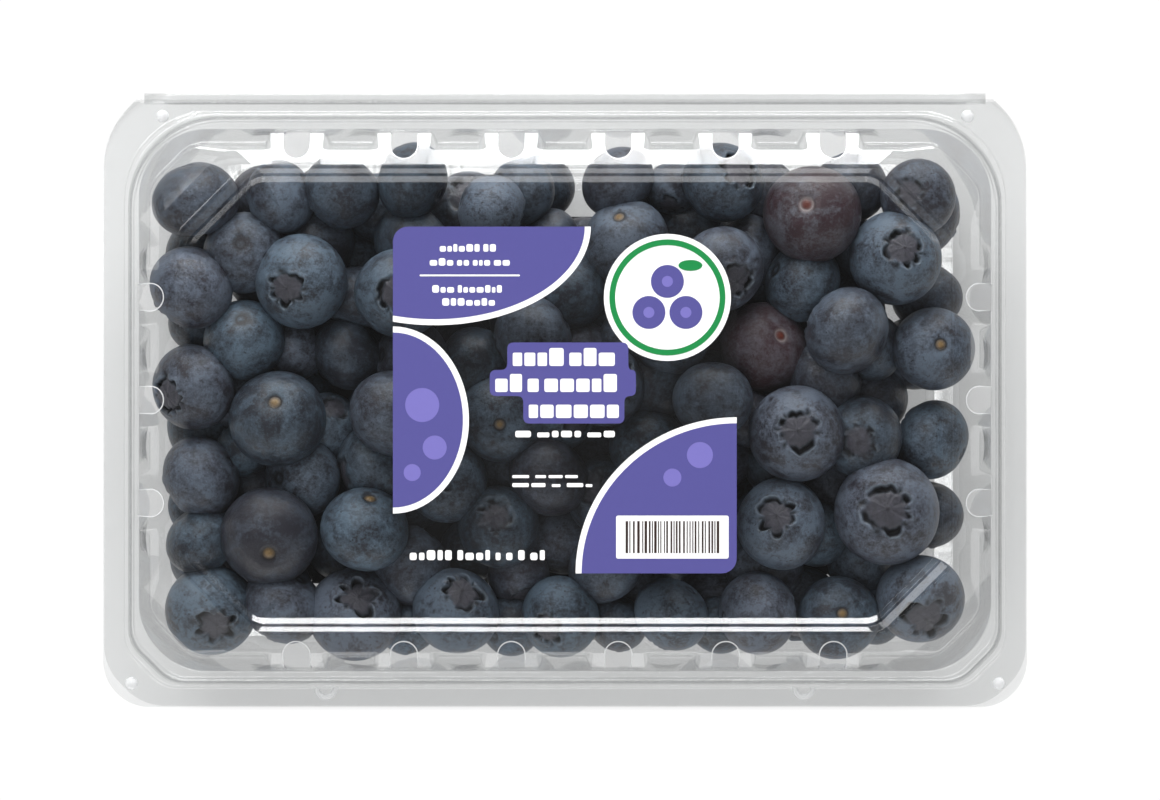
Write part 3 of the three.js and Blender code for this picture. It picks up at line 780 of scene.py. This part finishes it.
def berry_grid(rng, detail):
    """A berry of radius 1 with its crown at +Z and its stem scar at -Z, and its marks."""
    columns, *rows = detail
    theta = polar_rows(*rows)[:, None]
    phi = np.linspace(0, 2 * math.pi, columns, endpoint=False)[None, :]
    whole = np.ones_like(phi)
    across = np.sin(theta) * whole
    height = np.cos(theta) * whole
    swell = whole
    for size in (0.022, 0.014, 0.009):
        kx, ky, kz, phase = rng.uniform(-2.4, 2.4, 4)
        wave = kx * across * np.cos(phi) + ky * across * np.sin(phi) + kz * height + phase
        swell = swell + size * np.cos(wave)
    across = across * swell
    height = height * swell * rng.uniform(*FLATNESS)

    # The crown: a sunken disc, slits around it that are painted near black as their shade, and a
    # ragged lip of five folded sepals.
    star = rng.uniform(*CROWN.star)
    turn = phi + ripple(rng, phi, (1, 0.4), (2, 0.2))
    lobes = np.cos(5 * turn)
    ragged = ripple(rng, phi, (1, 0.07), (3, 0.05), (7, 0.035), (11, 0.03), (17, 0.02))
    edge = CROWN.radius * rng.uniform(0.86, 1.14) * (1 + ragged + star * lobes)
    u = np.where(np.cos(theta) > 0, across / edge, 9.0)
    gape = np.clip(0.45 + 0.5 * lobes + ripple(rng, phi, (2, 0.4), (9, 0.15)), 0.05, 1)
    slit = bell(u, 0.87, 0.045 + 0.08 * gape) * gape
    notch = np.clip(-lobes, 0, 1) ** 5 * bell(u, 1.06, 0.16)
    lip = bell(u, 1.09, 0.085) * (0.35 + 0.65 * gape)
    disc = 1 / (1 + np.exp((u - 0.86) / 0.03))
    folds = ripple(rng, phi, (4, 0.007), (7, 0.008), (9, 0.006), (15, 0.005))
    folds = disc * np.clip(u, 0, 1) * folds
    depth = 0.3 + 8 * star + rng.uniform(0, 0.9)
    height = height + CROWN.lip * lip - CROWN.slit * (slit + 0.55 * notch)
    height = height - disc * (CROWN.sink * depth - 0.025 * bell(u, 0, 0.1)) + folds

    v = np.where(np.cos(theta) < 0, np.sin(theta) * whole / SCAR.radius, 9.0)
    height = height + SCAR.dimple * bell(v, 0, 2.4) + 0.035 * bell(v, 1, 0.3)
    pale_lip = bell(u, 1.05, 0.05) * (0.25 + 0.75 * gape)
    marks = {
        "disc": disc,
        "slit": np.clip(1.6 * slit + 0.9 * notch + 0.8 * bell(u, 0, 0.06), 0, 1),
        "lip": np.clip(pale_lip + 0.6 * bell(u, 0.74, 0.04) * gape, 0, 1),
        "scar": 1 / (1 + np.exp((v - 0.8) / 0.1)),
        "ring": bell(v, 1.1, 0.3),
    }
    shape = np.stack((across * np.cos(phi), across * np.sin(phi), height), axis=-1)
    return shape, marks


def facing(direction, spin):
    """Turns a berry's crown axis to a direction, after a spin about that axis."""
    turn = Vector((0, 0, 1)).rotation_difference(Vector(direction)).to_matrix()
    return np.array(turn @ Matrix.Rotation(spin, 3, "Z"))


def axis_for(rng, look="", dx=0, dy=0):
    """The way a berry's crown points, from what shows on it and how far off its middle."""
    seen = Vector((dx, dy, math.sqrt(max(0.05, 1 - dx * dx - dy * dy)))).normalized()
    if look == "crown":
        return seen
    if look == "scar":
        return -seen
    angle = rng.uniform(0, 2 * math.pi)
    return Vector((math.cos(angle), math.sin(angle), rng.uniform(-0.3, -0.1))).normalized()


def berries_piece(name, berries, material, rng, detail):
    """One mesh of many berries: (x, y, z, radius, crown axis, bloom, whether its scar is pale)."""
    points, quads, marks = [], [], {}
    total = 0
    for x, y, z, radius, axis, bloom, pale_scar in berries:
        shape, values = berry_grid(rng, detail)
        rows, columns, _ = shape.shape
        turned = shape.reshape(-1, 3) @ facing(axis, rng.uniform(0, 6.3)).T
        points.append(turned * radius + np.array((x, y, z)))
        index = total + np.arange(rows * columns).reshape(rows, columns)
        here, after = index[:-1], index[1:]
        ring = np.stack((here, after, np.roll(after, -1, 1), np.roll(here, -1, 1)), axis=-1)
        quads.append(ring.reshape(-1, 4))
        for ends in (index[0], index[-1][::-1]):
            half = columns // 2
            for k in range(half - 1):
                cap = (ends[k], ends[k + 1], ends[columns - 2 - k], ends[columns - 1 - k])
                quads.append(np.array([cap]))
        values.update(scar=values["scar"] * pale_scar, bloom=bloom, tone=rng.uniform(0, 1))
        for key, value in values.items():
            marks.setdefault(key, []).append((value * np.ones((rows, columns))).ravel())
        total += rows * columns
    marks = {key: np.concatenate(value) for key, value in marks.items()}
    piece = grid_object(name, np.concatenate(points), np.concatenate(quads), material, marks)
    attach(piece, "base")
    return piece


# Berries of the back row that show through the vents: the home of each, and how far along x,
# nearer the wall and higher it lies than in the CAD.
LEANING = {
    (-30.0, 42.5): (-1.3, 2.2, 0.0),
    (12.0, 42.6): (-1.0, 1.7, 9.5),
    (31.4, 41.1): (0.9, 2.0, 0.0),
    (59.5, 42.0): (-0.3, 1.6, 6.5),
}
# Small ones between the front row and the wall, behind the front vents: x, y, z and radius.
BEHIND_VENTS = (
    (-32.2, -46.2, 18.6, 6.3), (-10.9, -46.2, 19.6, 6.3),
    (10.9, -45.9, 20.5, 6.2), (31.4, -46.0, 18.6, 6.3),
)
FILL = Sizes(
    step=2.0, least=8.5, touch=0.78,
    radii=(8.4, 7.7, 7.0, 6.4, 5.8), tops=(24.0, 23.5, 22.0, 20.0, 17.0),
)
# The core's levels: how far inside its half size, the height, and the radius of the bend.
CORE = Sizes(
    size=(64.0, 38.0),
    levels=((6, 2.5, 0.0), (0, 4.5, 2.0), (0, 9.0, 2.0), (5, 11.0, 0.0)),
    corner={"cut": 17.0, "round": 0.9},
    bays=Sizes(long=(20.0, 45.0), short=(-14.0, 14.0), width=15.0, lead=4.0),
)
REDDISH_BLOOM = 0.3
LOWER_BLOOM = (0.25, 0.7)


def lean(berries):
    """Moves the berries of the back row that show through the vents."""
    for berry, (x, y, *_) in zip(berries, TOP_BERRIES):
        if (x, y) in LEANING:
            for axis, move in enumerate(LEANING[x, y]):
                berry[axis] += move


def fill_berries(berries):
    """More berries in the hollows between the others, each as high as it fits."""
    taken = np.array(berries)
    half_x, half_y = WALL_FOOT
    added = []
    for radius, top in zip(FILL.radii, FILL.tops):
        for x in np.arange(-half_x + radius, half_x - radius, FILL.step):
            for y in np.arange(-half_y + radius, half_y - radius, FILL.step):
                berry = [x, y, top, radius]
                contain(berry)
                distance = np.hypot(taken[:, 0] - berry[0], taken[:, 1] - berry[1])
                reach = FILL.touch * (taken[:, 3] + radius)
                near = distance < reach
                span = np.sqrt(reach[near] ** 2 - distance[near] ** 2)
                low, high = taken[near, 2] - span, taken[near, 2] + span
                while (hit := (berry[2] > low) & (berry[2] < high)).any():
                    berry[2] = low[hit].min()
                if berry[2] > FILL.least:
                    added.append(berry)
                    taken = np.vstack((taken, berry))
    return added


def make_core(material):
    """A dark solid in the middle of the heap, which the berries cover: painted shade that shows in
    the gaps between them.
    """
    half_x, half_y = CORE.size
    levels = bent([level((half_x - inset, half_y - inset), z, CORE.corner, bend=bend)
                   for inset, z, bend in CORE.levels])
    core = make_object("heap_core", *loft(levels, CORE.bays), material)
    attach(core, "base")


def make_berries(skin, ruddy, core_shade):
    rng = np.random.default_rng(21)
    lower, upper = settled_berries()
    lean(upper)
    lower += [list(berry) for berry in BEHIND_VENTS]
    lower += fill_berries(lower + upper)
    crowned, plain_ones, reddish = [], [], []
    for place, (_, _, _, _, bloom, *mark) in zip(upper, TOP_BERRIES):
        group = reddish if bloom == "R" else crowned if "crown" in mark else plain_ones
        amount = REDDISH_BLOOM if bloom == "R" else bloom
        group.append((*place, axis_for(rng, *mark), amount, "scar" in mark))
    under = []
    for place in lower:
        axis = Vector((rng.normal(), rng.normal(), rng.normal())).normalized()
        under.append((*place, axis, rng.uniform(*LOWER_BLOOM), False))
    first = berries_piece("berries_crowned", crowned, skin, rng, CROWNED)
    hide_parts("blueberries")
    berries_piece("berries_plain", plain_ones, skin, rng, PLAIN)
    berries_piece("berries_reddish", reddish, ruddy, rng, PLAIN)
    half = len(under) // 2
    berries_piece("berries_under", under[:half], skin, rng, HIDDEN)
    berries_piece("berries_between", under[half:], skin, rng, HIDDEN)
    make_core(core_shade)


# ---- label ----


def arc(cx, cy, rx, ry, start, end, steps=24):
    """Points of an elliptic arc, with its angles in degrees."""
    return ellipse(cx, cy, rx, ry, np.radians(np.linspace(start, end, steps)))


def rounded(cx, cy, width, height, radius):
    """A rectangle with round corners, about its middle."""
    x, y = width / 2 - radius, height / 2 - radius
    shape = []
    for corner_x, corner_y, start in ((x, y, 0), (-x, y, 90), (-x, -y, 180), (x, -y, 270)):
        shape += arc(corner_x, corner_y, radius, radius, start, start + 90, 7)
    return [(cx + px, cy + py) for px, py in shape]


def circle(x, y, radius):
    return arc(x, y, radius, radius, 0, 354, 60)


def softened(shape, reach, steps=6):
    """A polygon with its corners rounded, each as far as its sides allow."""
    shape = np.array(shape, float)
    soft = []
    for before, here, after in zip(np.roll(shape, 1, 0), shape, np.roll(shape, -1, 0)):
        shares = [min(reach / math.dist(here, other), 0.48) for other in (before, after)]
        start = here + (before - here) * shares[0]
        soft += curve(start, here, here + (after - here) * shares[1], steps)
    return soft


INK = Sizes(gap=0.01, layer=0.02, thickness=0.015)


def print_piece(name, shapes, layer, material):
    """Flat printed shapes, a hair above the film."""
    low = PANEL_TOP + GAP + LABEL.thickness + INK.gap + INK.layer * layer
    parts = []
    for shape in shapes:
        count = len(shape)
        points = [(x, y, z) for z in (low, low + INK.thickness) for x, y in shape]
        triangles = tessellate_polygon([[Vector((x, y, 0)) for x, y in shape]])
        faces = [(a + count, b + count, c + count) for a, b, c in triangles]
        parts.append((points, faces + ring_faces(2, count)))
    piece = make_object(name, *joined(parts), material, smooth=False)
    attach(piece, "lid")


LABEL_TOP = LABEL.depth / 2
LABEL_SIDE = LABEL.width / 2


# The arcs that bound the purple fields: the middle's place along the film's edge, or none for
# the one about a corner, and the two radii.
TOP_FIELD = (-26, 30, 18.5)
SIDE_FIELD = (-4, 14, 17.5)
CORNER_FIELD = (31, 30)


def field_edges(grow):
    """The arcs that bound the three purple fields, or with grow their white outlines."""
    x, rx, ry = TOP_FIELD
    start = math.degrees(math.acos((-x - LABEL_SIDE) / (rx + grow)))
    top = arc(x, LABEL_TOP, rx + grow, ry + grow, 360 - start, 360, 40)
    y, rx, ry = SIDE_FIELD
    side = arc(-LABEL_SIDE, y, rx + grow, ry + grow, -90, 90, 40)
    rx, ry = CORNER_FIELD
    return top, side, arc(LABEL_SIDE, -LABEL_TOP, rx + grow, ry + grow, 90, 180, 40)


def field_shapes():
    """The three purple fields, with the film's round corners where they reach them."""
    corner = LABEL.corner
    top, side, low = field_edges(0)
    x, y = LABEL_SIDE - corner, LABEL_TOP - corner
    top_left = arc(-x, y, corner, corner, 90, 180, 8)
    low_right = arc(x, -y, corner, corner, 270, 360, 8)
    return [top_left + top, side, low + low_right]


def field_outlines(width):
    """A white band along the edge of each field."""
    return [outer + inner[::-1] for outer, inner in zip(field_edges(width), field_edges(0))]


FIELD_RIM = 1.2
MEDAL = Sizes(
    x=20.5, y=20.5, edge=12.7, ring=11.6, band=1.15, leaf=(4.6, 6.4, 2.4, 1.1),
    berries=((-3.7, -3.0), (3.7, -3.0), (0.0, 3.2)), berry=3.3, spot=1.1,
)
BARCODE = Sizes(
    x=21.5, y=-27.4, width=22.5, height=8.6, corner=0.4, margins=(1.9, 1.1),
    bars=(0.22, 0.35, 0.5), spaces=(0.25, 0.35, 0.5),
)
TITLE = Sizes(
    rows=((0.6, 8.6, 22), (-0.4, 3.4, 27), (1.8, -1.8, 18)),
    pitch=5.2, height=3.6, halo=1.1, round=1.3,
)

# Circles on the fields: x, y and radius. Rows of small print and the rule between them: x, y,
# width and height.
DROPS = (
    (-28.5, -1.0, 3.4), (-26.0, -9.5, 2.4), (-30.5, -14.5, 1.7), (27, -11, 2.6), (21.5, -15.5, 1.8),
)
SMALL_ROWS = ((0.6, -6.8, 21, 1.3), (-3.5, -15.2, 14, 0.8), (-2.5, -17.0, 16, 0.8))
LOW_ROW = (-17.5, -31.0, 27, 2.0)
RULE = (-19, 24.9, 20, 0.35)
TOP_ROWS = ((-19, 30.4, 12, 1.5), (-19, 27.6, 16, 1.5), (-19, 22.2, 15, 1.5), (-19, 19.6, 11, 1.5))


def title_field():
    """One stepped field around the rows of the title, with round corners."""
    left, right = [], []
    spare = TITLE.height / 2 + TITLE.halo - TITLE.pitch / 2
    last = len(TITLE.rows) - 1
    for index, (x, y, width) in enumerate(TITLE.rows):
        half = width / 2 + TITLE.halo
        top = y + TITLE.pitch / 2 + (spare if index == 0 else 0)
        low = y - TITLE.pitch / 2 - (spare if index == last else 0)
        left += [(x - half, top), (x - half, low)]
        right = [(x + half, low), (x + half, top), *right]
    return softened(left + right, TITLE.round)


def word_row(rng, cx, cy, width, height, least, most, gap, corner=0.3):
    """A row of blocks, from least to most wide and of uneven heights, that stands for print."""
    blocks, x = [], cx - width / 2
    while x < cx + width / 2 - least:
        block = min(rng.uniform(least, most), cx + width / 2 - x)
        tall = height * rng.choice((1.0, 0.74, 0.74))
        radius = corner * min(tall, block)
        blocks.append(rounded(x + block / 2, cy - (height - tall) / 2, block, tall, radius))
        x += block + gap * rng.choice((1, 1, 1, 2.5))
    return blocks


def make_label(film, inks):
    slab = rounded(0, 0, LABEL.width, LABEL.depth, LABEL.corner)
    low = PANEL_TOP + GAP
    points, faces = prism(slab, low, low + LABEL.thickness)
    piece = make_object("label_film", points, faces, film, smooth=False)
    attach(piece, "lid")
    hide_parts("label")

    rng = np.random.default_rng(5)
    medal_x, medal_y = MEDAL.x, MEDAL.y
    white = [*field_outlines(FIELD_RIM), circle(medal_x, medal_y, MEDAL.edge)]
    for row in SMALL_ROWS:
        white += word_row(rng, *row, least=1.2, most=3.6, gap=0.5)
    white += word_row(rng, *LOW_ROW, least=0.9, most=1.9, gap=0.45)
    print_piece("label_white", white, 0, inks["white"])

    berries = [(medal_x + x, medal_y + y) for x, y in MEDAL.berries]
    purple = [*field_shapes(), title_field()]
    purple += [circle(*place, MEDAL.berry) for place in berries]
    print_piece("label_purple", purple, 1, inks["purple"])
    drops = [circle(*drop) for drop in DROPS] + [circle(*place, MEDAL.spot) for place in berries]
    print_piece("label_lavender", drops, 2, inks["lavender"])

    top_white = [rounded(*RULE, radius=0.15)]
    for row in TOP_ROWS:
        top_white += word_row(rng, *row, least=0.7, most=1.5, gap=0.3)
    for row in TITLE.rows:
        top_white += word_row(rng, *row, TITLE.height, least=1.8, most=3.6, gap=0.45, corner=0.16)
    code = BARCODE
    top_white.append(rounded(code.x, code.y, code.width, code.height, code.corner))
    print_piece("label_print", top_white, 3, inks["white"])

    outer, inner = MEDAL.ring, MEDAL.ring - MEDAL.band
    ring = arc(medal_x, medal_y, outer, outer, 0, 360, 73)
    ring += arc(medal_x, medal_y, inner, inner, 360, 0, 73)
    x, y, long_half, short_half = MEDAL.leaf
    leaf = arc(medal_x + x, medal_y + y, long_half, short_half, 0, 345, 24)
    print_piece("label_green", [ring, leaf], 3, inks["green"])

    lines = []
    half_width = code.width / 2 - code.margins[0]
    half_height = code.height / 2 - code.margins[1]
    low, high = code.y - half_height, code.y + half_height
    x = code.x - half_width
    while x < code.x + half_width:
        width = rng.choice(code.bars)
        lines.append([(x, low), (x + width, low), (x + width, high), (x, high)])
        x += width + rng.choice(code.spaces)
    print_piece("label_bars", lines, 4, inks["dark"])


# ---- materials ----


class Shader:
    """Nodes of a new material or a world. A value is a number, a colour, a socket or a node."""

    def __init__(self, name, owner=None, output="OutputMaterial"):
        owner = owner or bpy.data.materials.new(name)
        owner.use_nodes = True
        self.owner = owner
        self.nodes, self.links = owner.node_tree.nodes, owner.node_tree.links
        self.nodes.clear()
        self.output = self.node(output)

    def give(self, socket, value):
        """Sets a socket to a number or a colour, or links a socket or a node's first output."""
        if isinstance(value, bpy.types.Node):
            value = value.outputs[0]
        if isinstance(value, bpy.types.NodeSocket):
            self.links.new(value, socket)
        else:
            socket.default_value = (*value, 1) if isinstance(value, tuple) else value

    def node(self, kind, **values):
        """A node with its properties and its inputs given by name."""
        node = self.nodes.new("ShaderNode" + kind)
        for key, value in values.items():
            if hasattr(node, key):
                setattr(node, key, value)
            else:
                self.give(node.inputs[key.replace("_", " ")], value)
        return node

    def maths(self, operation, *values, clamp=False):
        node = self.node("Math", operation=operation, use_clamp=clamp)
        for socket, value in zip(node.inputs, values):
            self.give(socket, value)
        return node

    def plus(self, first, second, **settings):
        return self.maths("ADD", first, second, **settings)

    def minus(self, first, second, **settings):
        return self.maths("SUBTRACT", first, second, **settings)

    def times(self, first, second, **settings):
        return self.maths("MULTIPLY", first, second, **settings)

    def blend(self, factor, first, second, blend_type="MIX"):
        """A colour between two, or with blend_type their product."""
        node = self.node("Mix", data_type="RGBA", blend_type=blend_type, Factor=factor)
        for socket, value in zip((node.inputs[6], node.inputs[7]), (first, second)):
            self.give(socket, value)
        return node.outputs[2]

    def place(self, kind="Object"):
        return self.node("TexCoord").outputs[kind]

    def noise(self, scale, detail, roughness=0.5, distortion=0.0):
        node = self.node("TexNoise", Vector=self.place(), Scale=scale, Detail=detail,
                         Roughness=roughness, Distortion=distortion)
        return node.outputs["Fac"]

    def layered(self, factor, first, second):
        """A share of the second surface over the first."""
        node = self.node("MixShader", Fac=factor)
        self.give(node.inputs[1], first)
        self.give(node.inputs[2], second)
        return node

    def finish(self, surface):
        self.give(self.output.inputs["Surface"], surface)
        return self.owner


MIRRORED = Sizes(gain=1.9, most=0.42)   # the share of light that clear sheet mirrors


def clear_plastic(name, tint=(0.945, 0.948, 0.948), waviness=0.05):
    """Thin clear formed sheet: it lets light through and mirrors more at a glancing angle."""
    shader = Shader(name)
    bump = shader.node("Bump", Strength=waviness, Distance=0.002, Height=shader.noise(60.0, 1.0))
    fresnel = shader.node("Fresnel", IOR=1.55, Normal=bump)
    outside = shader.minus(1.0, shader.node("NewGeometry").outputs["Backfacing"])
    mirrored = shader.times(fresnel, MIRRORED.gain)
    mirrored = shader.maths("MINIMUM", mirrored, MIRRORED.most)
    clear = shader.node("BsdfTransparent", Color=tint)
    gloss = shader.node("BsdfGlossy", Roughness=0.06, Normal=bump)
    return shader.finish(shader.layered(shader.times(mirrored, outside), clear, gloss))


def plastic_with_painted_glint(name, share, tint):
    """Clear plastic with a share of pale white over it: painted highlight for the glints on a
    vent's cut edge and on the snap buttons and nubs.
    """
    shader = Shader(name)
    clear = shader.node("BsdfTransparent", Color=tint)
    pale = shader.node("BsdfPrincipled", Base_Color=(0.85, 0.86, 0.87), Roughness=0.25)
    return shader.finish(shader.layered(share, clear, pale))


def berry_skin(name, colours):
    """Waxy blue skin: pale bloom in patches, rubbed dark in places, with crown and stem marks, and
    painted shade in the crown's slits.
    """
    shader = Shader(name)
    plus, minus, times, blend = shader.plus, shader.minus, shader.times, shader.blend

    def value_of(key):
        return shader.node("Attribute", attribute_name=key).outputs["Fac"]

    def around_zero(value, gain):
        return times(minus(value, 0.5), gain)

    patches = shader.noise(170.0, 4.0, 0.6, 0.8)
    mottle = shader.noise(900.0, 4.0, 0.7)
    specks = shader.noise(1300.0, 2.0, 0.5)
    grain = shader.noise(2400.0, 2.0, 0.6)
    fine = plus(around_zero(mottle, 2.8), around_zero(grain, 1.2))
    change = plus(around_zero(patches, 3.4), fine)
    uneven = plus(0.3, times(value_of("bloom"), 0.85))
    coated = plus(times(value_of("bloom"), 0.82), times(change, uneven), clamp=True)
    worn = times(minus(specks, 0.64), 10.0, clamp=True)
    coated = times(coated, minus(1.0, worn))
    tint = blend(value_of("tone"), (0.86, 0.99, 1.04), (1.09, 1.0, 1.03))
    colour = blend(1.0, blend(coated, colours.skin, colours.bloom), tint, "MULTIPLY")
    flesh = blend(mottle, (0.012, 0.012, 0.015), (0.092, 0.09, 0.113))
    wood = blend(mottle, tuple(0.3 * c for c in colours.scar), colours.scar)
    colour = blend(value_of("disc"), colour, flesh)
    colour = blend(times(value_of("lip"), 0.65), colour, (0.17, 0.21, 0.25))
    # Painted shade: the crown's slits, the notches between its sepals and its very middle go near
    # black.
    colour = blend(value_of("slit"), colour, (0.006, 0.006, 0.007))
    colour = blend(value_of("ring"), colour, colours.ring)
    colour = blend(value_of("scar"), colour, wood)
    bump = shader.node("Bump", Strength=0.45, Distance=0.0005, Height=mottle)
    rough = plus(0.29, times(coated, 0.26))
    surface = shader.node("BsdfPrincipled", Base_Color=colour, Roughness=rough, Normal=bump)
    return shader.finish(surface)


def printed(name, colour):
    """Ink on film, with the faint unevenness of a printed solid."""
    shader = Shader(name)
    shade = shader.blend(shader.noise(700.0, 2.0), tuple(0.96 * c for c in colour), colour)
    return shader.finish(shader.node("BsdfPrincipled", Base_Color=shade, Roughness=0.4))


def plain(name, colour, roughness):
    shader = Shader(name)
    return shader.finish(shader.node("BsdfPrincipled", Base_Color=colour, Roughness=roughness))


# ---- stage ----

CAMERA_HEIGHT = 1000.0           # over the flange
IMAGE_WIDTH = 1160               # pixels of the photograph
PIXEL = 0.2024                   # millimetres of a pixel at the flange
PACK_LEFT_OF_CENTRE = 15         # pixels

# The floor's white and its glow under the pack and beyond it. The glow starts where the camera
# sees the pack's edge against the floor: so far out from it, with round corners of these radii.
FLOOR = Sizes(
    white=0.55, near_glow=0.43, far_glow=1.03, fade=1.2,
    out=(2.5, 1.6), front_corner=11.0, back_corner=17.0, half_size=3000.0,
)
SURROUNDINGS = 2.35              # radiance where they are pale
# Shades by height, and by the distance from the middle plane: where, and how pale.
SHADE_UPWARDS = ((0.0, 1.0), (0.26, 1.0), (0.33, 0.12), (0.7, 0.24), (0.93, 0.04))
SHADE_SIDEWAYS = ((0.0, 1.0), (0.55, 1.0), (0.8, 0.08))


def make_camera():
    data = bpy.data.cameras.new("camera")
    data.sensor_width = 36.0
    data.lens = data.sensor_width * CAMERA_HEIGHT / (IMAGE_WIDTH * PIXEL)
    camera = new_object("camera", data)
    x = PACK_LEFT_OF_CENTRE * PIXEL
    camera.location = Vector((x, 0, FLANGE_TOP + CAMERA_HEIGHT)) * MM
    bpy.context.scene.camera = camera


def make_softbox(name, place, aim, width, height, radiance, glossy=True):
    """A rectangular light of a radiance, at a place in metres and turned towards another."""
    data = bpy.data.lights.new(name, "AREA")
    data.shape = "RECTANGLE"
    data.size = width
    data.size_y = height
    data.energy = radiance * math.pi * width * height
    light = new_object(name, data)
    light.location = place
    light.rotation_euler = (Vector(aim) - Vector(place)).to_track_quat("-Z", "Y").to_euler()
    light.visible_camera = False
    light.visible_glossy = glossy


def make_world():
    """Surroundings that are pale low in front and behind, and dark at the sides and overhead."""
    world = bpy.data.worlds.new("studio")
    shader = Shader("studio", world, "OutputWorld")
    parts = shader.node("SeparateXYZ", Vector=shader.place("Generated"))

    def ramp(value, stops):
        node = shader.node("ValToRGB", Fac=value)
        elements = node.color_ramp.elements
        while len(elements) < len(stops):
            elements.new(0.5)
        for element, (position, shade) in zip(elements, stops):
            element.position = position
            element.color = (shade, shade, shade, 1)
        return node

    across = shader.maths("ABSOLUTE", parts.outputs["X"])
    across = shader.plus(across, shader.times(parts.outputs["Y"], 0.25))
    shade = shader.times(ramp(parts.outputs["Z"], SHADE_UPWARDS), ramp(across, SHADE_SIDEWAYS))
    strength = shader.times(shade, SURROUNDINGS)
    shader.finish(shader.node("Background", Color=(1.0, 1.0, 1.0), Strength=strength))
    bpy.context.scene.world = world


def make_floor():
    """A white table that glows, which is painted light: dimly under the pack and fully beyond it,
    where it has no white of its own, for a pure white background without the pack's shadow.
    """
    shader = Shader("floor_white")
    parts = shader.node("SeparateXYZ", Vector=shader.place())
    front, back = FLOOR.front_corner, FLOOR.back_corner
    behind = shader.maths("GREATER_THAN", parts.outputs["Y"], 0.0)
    radius = shader.plus(shader.times(behind, (back - front) * MM), front * MM)
    beyond = []
    for axis, half, out in zip("XY", (HALF_X, HALF_Y), FLOOR.out):
        distance = shader.minus(shader.maths("ABSOLUTE", parts.outputs[axis]), (half + out) * MM)
        beyond.append(shader.plus(distance, radius))
    squares = [shader.maths("POWER", shader.maths("MAXIMUM", value, 0.0), 2.0) for value in beyond]
    inside = shader.maths("MINIMUM", shader.maths("MAXIMUM", *beyond), 0.0)
    outside = shader.minus(shader.plus(shader.maths("SQRT", shader.plus(*squares)), inside), radius)
    share = shader.maths("DIVIDE", outside, FLOOR.fade * MM, clamp=True)
    glow = shader.times(share, FLOOR.far_glow - FLOOR.near_glow)
    glow = shader.plus(glow, FLOOR.near_glow)
    white = shader.blend(share, (FLOOR.white,) * 3, (0.0, 0.0, 0.0))
    surface = shader.node(
        "BsdfPrincipled", Base_Color=white, Roughness=0.9, Specular_IOR_Level=0.0,
        Emission_Color=(1.0, 1.0, 1.0), Emission_Strength=glow,
    )
    size = FLOOR.half_size
    corners = [(-size, -size, 0), (size, -size, 0), (size, size, 0), (-size, size, 0)]
    material = shader.finish(surface)
    make_object("floor", corners, [(0, 1, 2, 3)], material, False)


def make_stage():
    make_floor()
    make_world()
    low, middle = (0, 0, 0.03), (0, 0, 0.04)
    make_softbox("key", (-0.4, 0.7, 0.9), low, 0.9, 0.5, radiance=2.75)
    make_softbox("back", (0, 1.2, 0.25), middle, 1.35, 0.31, radiance=9.0)
    make_softbox("back_fill", (0, 1.05, 0.68), middle, 1.35, 0.6, radiance=6.0, glossy=False)
    make_softbox("above", (-0.2, -0.55, 1.3), low, 1.2, 1.2, radiance=2.2, glossy=False)
    bpy.context.scene.view_settings.view_transform = "Standard"


# ---- the scene ----

BLUE_SKIN = Sizes(
    skin=(0.025, 0.025, 0.032), bloom=(0.103, 0.134, 0.172),
    scar=(0.3, 0.19, 0.075), ring=(0.008, 0.007, 0.008),
)
REDDISH_SKIN = Sizes(
    skin=(0.042, 0.02, 0.024), bloom=(0.13, 0.13, 0.148),
    scar=(0.16, 0.03, 0.015), ring=(0.2, 0.17, 0.17),
)
INKS = {
    "white": (0.9, 0.9, 0.9),
    "purple": (0.081, 0.0745, 0.266),
    "lavender": (0.17, 0.15, 0.45),
    "green": (0.008, 0.22, 0.055),
    "dark": (0.03, 0.015, 0.012),
}

make_camera()
make_stage()
plastic = clear_plastic("clear_sheet")
# The pale share on the vents' cut edges is painted highlight.
cut_edge = plastic_with_painted_glint("cut_edge", share=0.6, tint=(0.8, 0.8, 0.8))
# The snap buttons and nubs get a pale share too: painted highlight for the bright edges and
# sparkles they catch.
make_lid(plastic, cut_edge, plastic_with_painted_glint("snap_plastic", share=0.36, tint=(1.0, 1.0, 1.0)))
make_base(plastic)
make_hinge(plastic)
make_berries(
    berry_skin("berry_wax", BLUE_SKIN),
    berry_skin("berry_wax_reddish", REDDISH_SKIN),
    plain("heap_shadow", (0.025, 0.025, 0.029), 0.7),
)
label_sheet = clear_plastic("label_sheet", tint=(0.97, 0.97, 0.975), waviness=0.02)
make_label(label_sheet, {key: printed("ink_" + key, colour) for key, colour in INKS.items()})
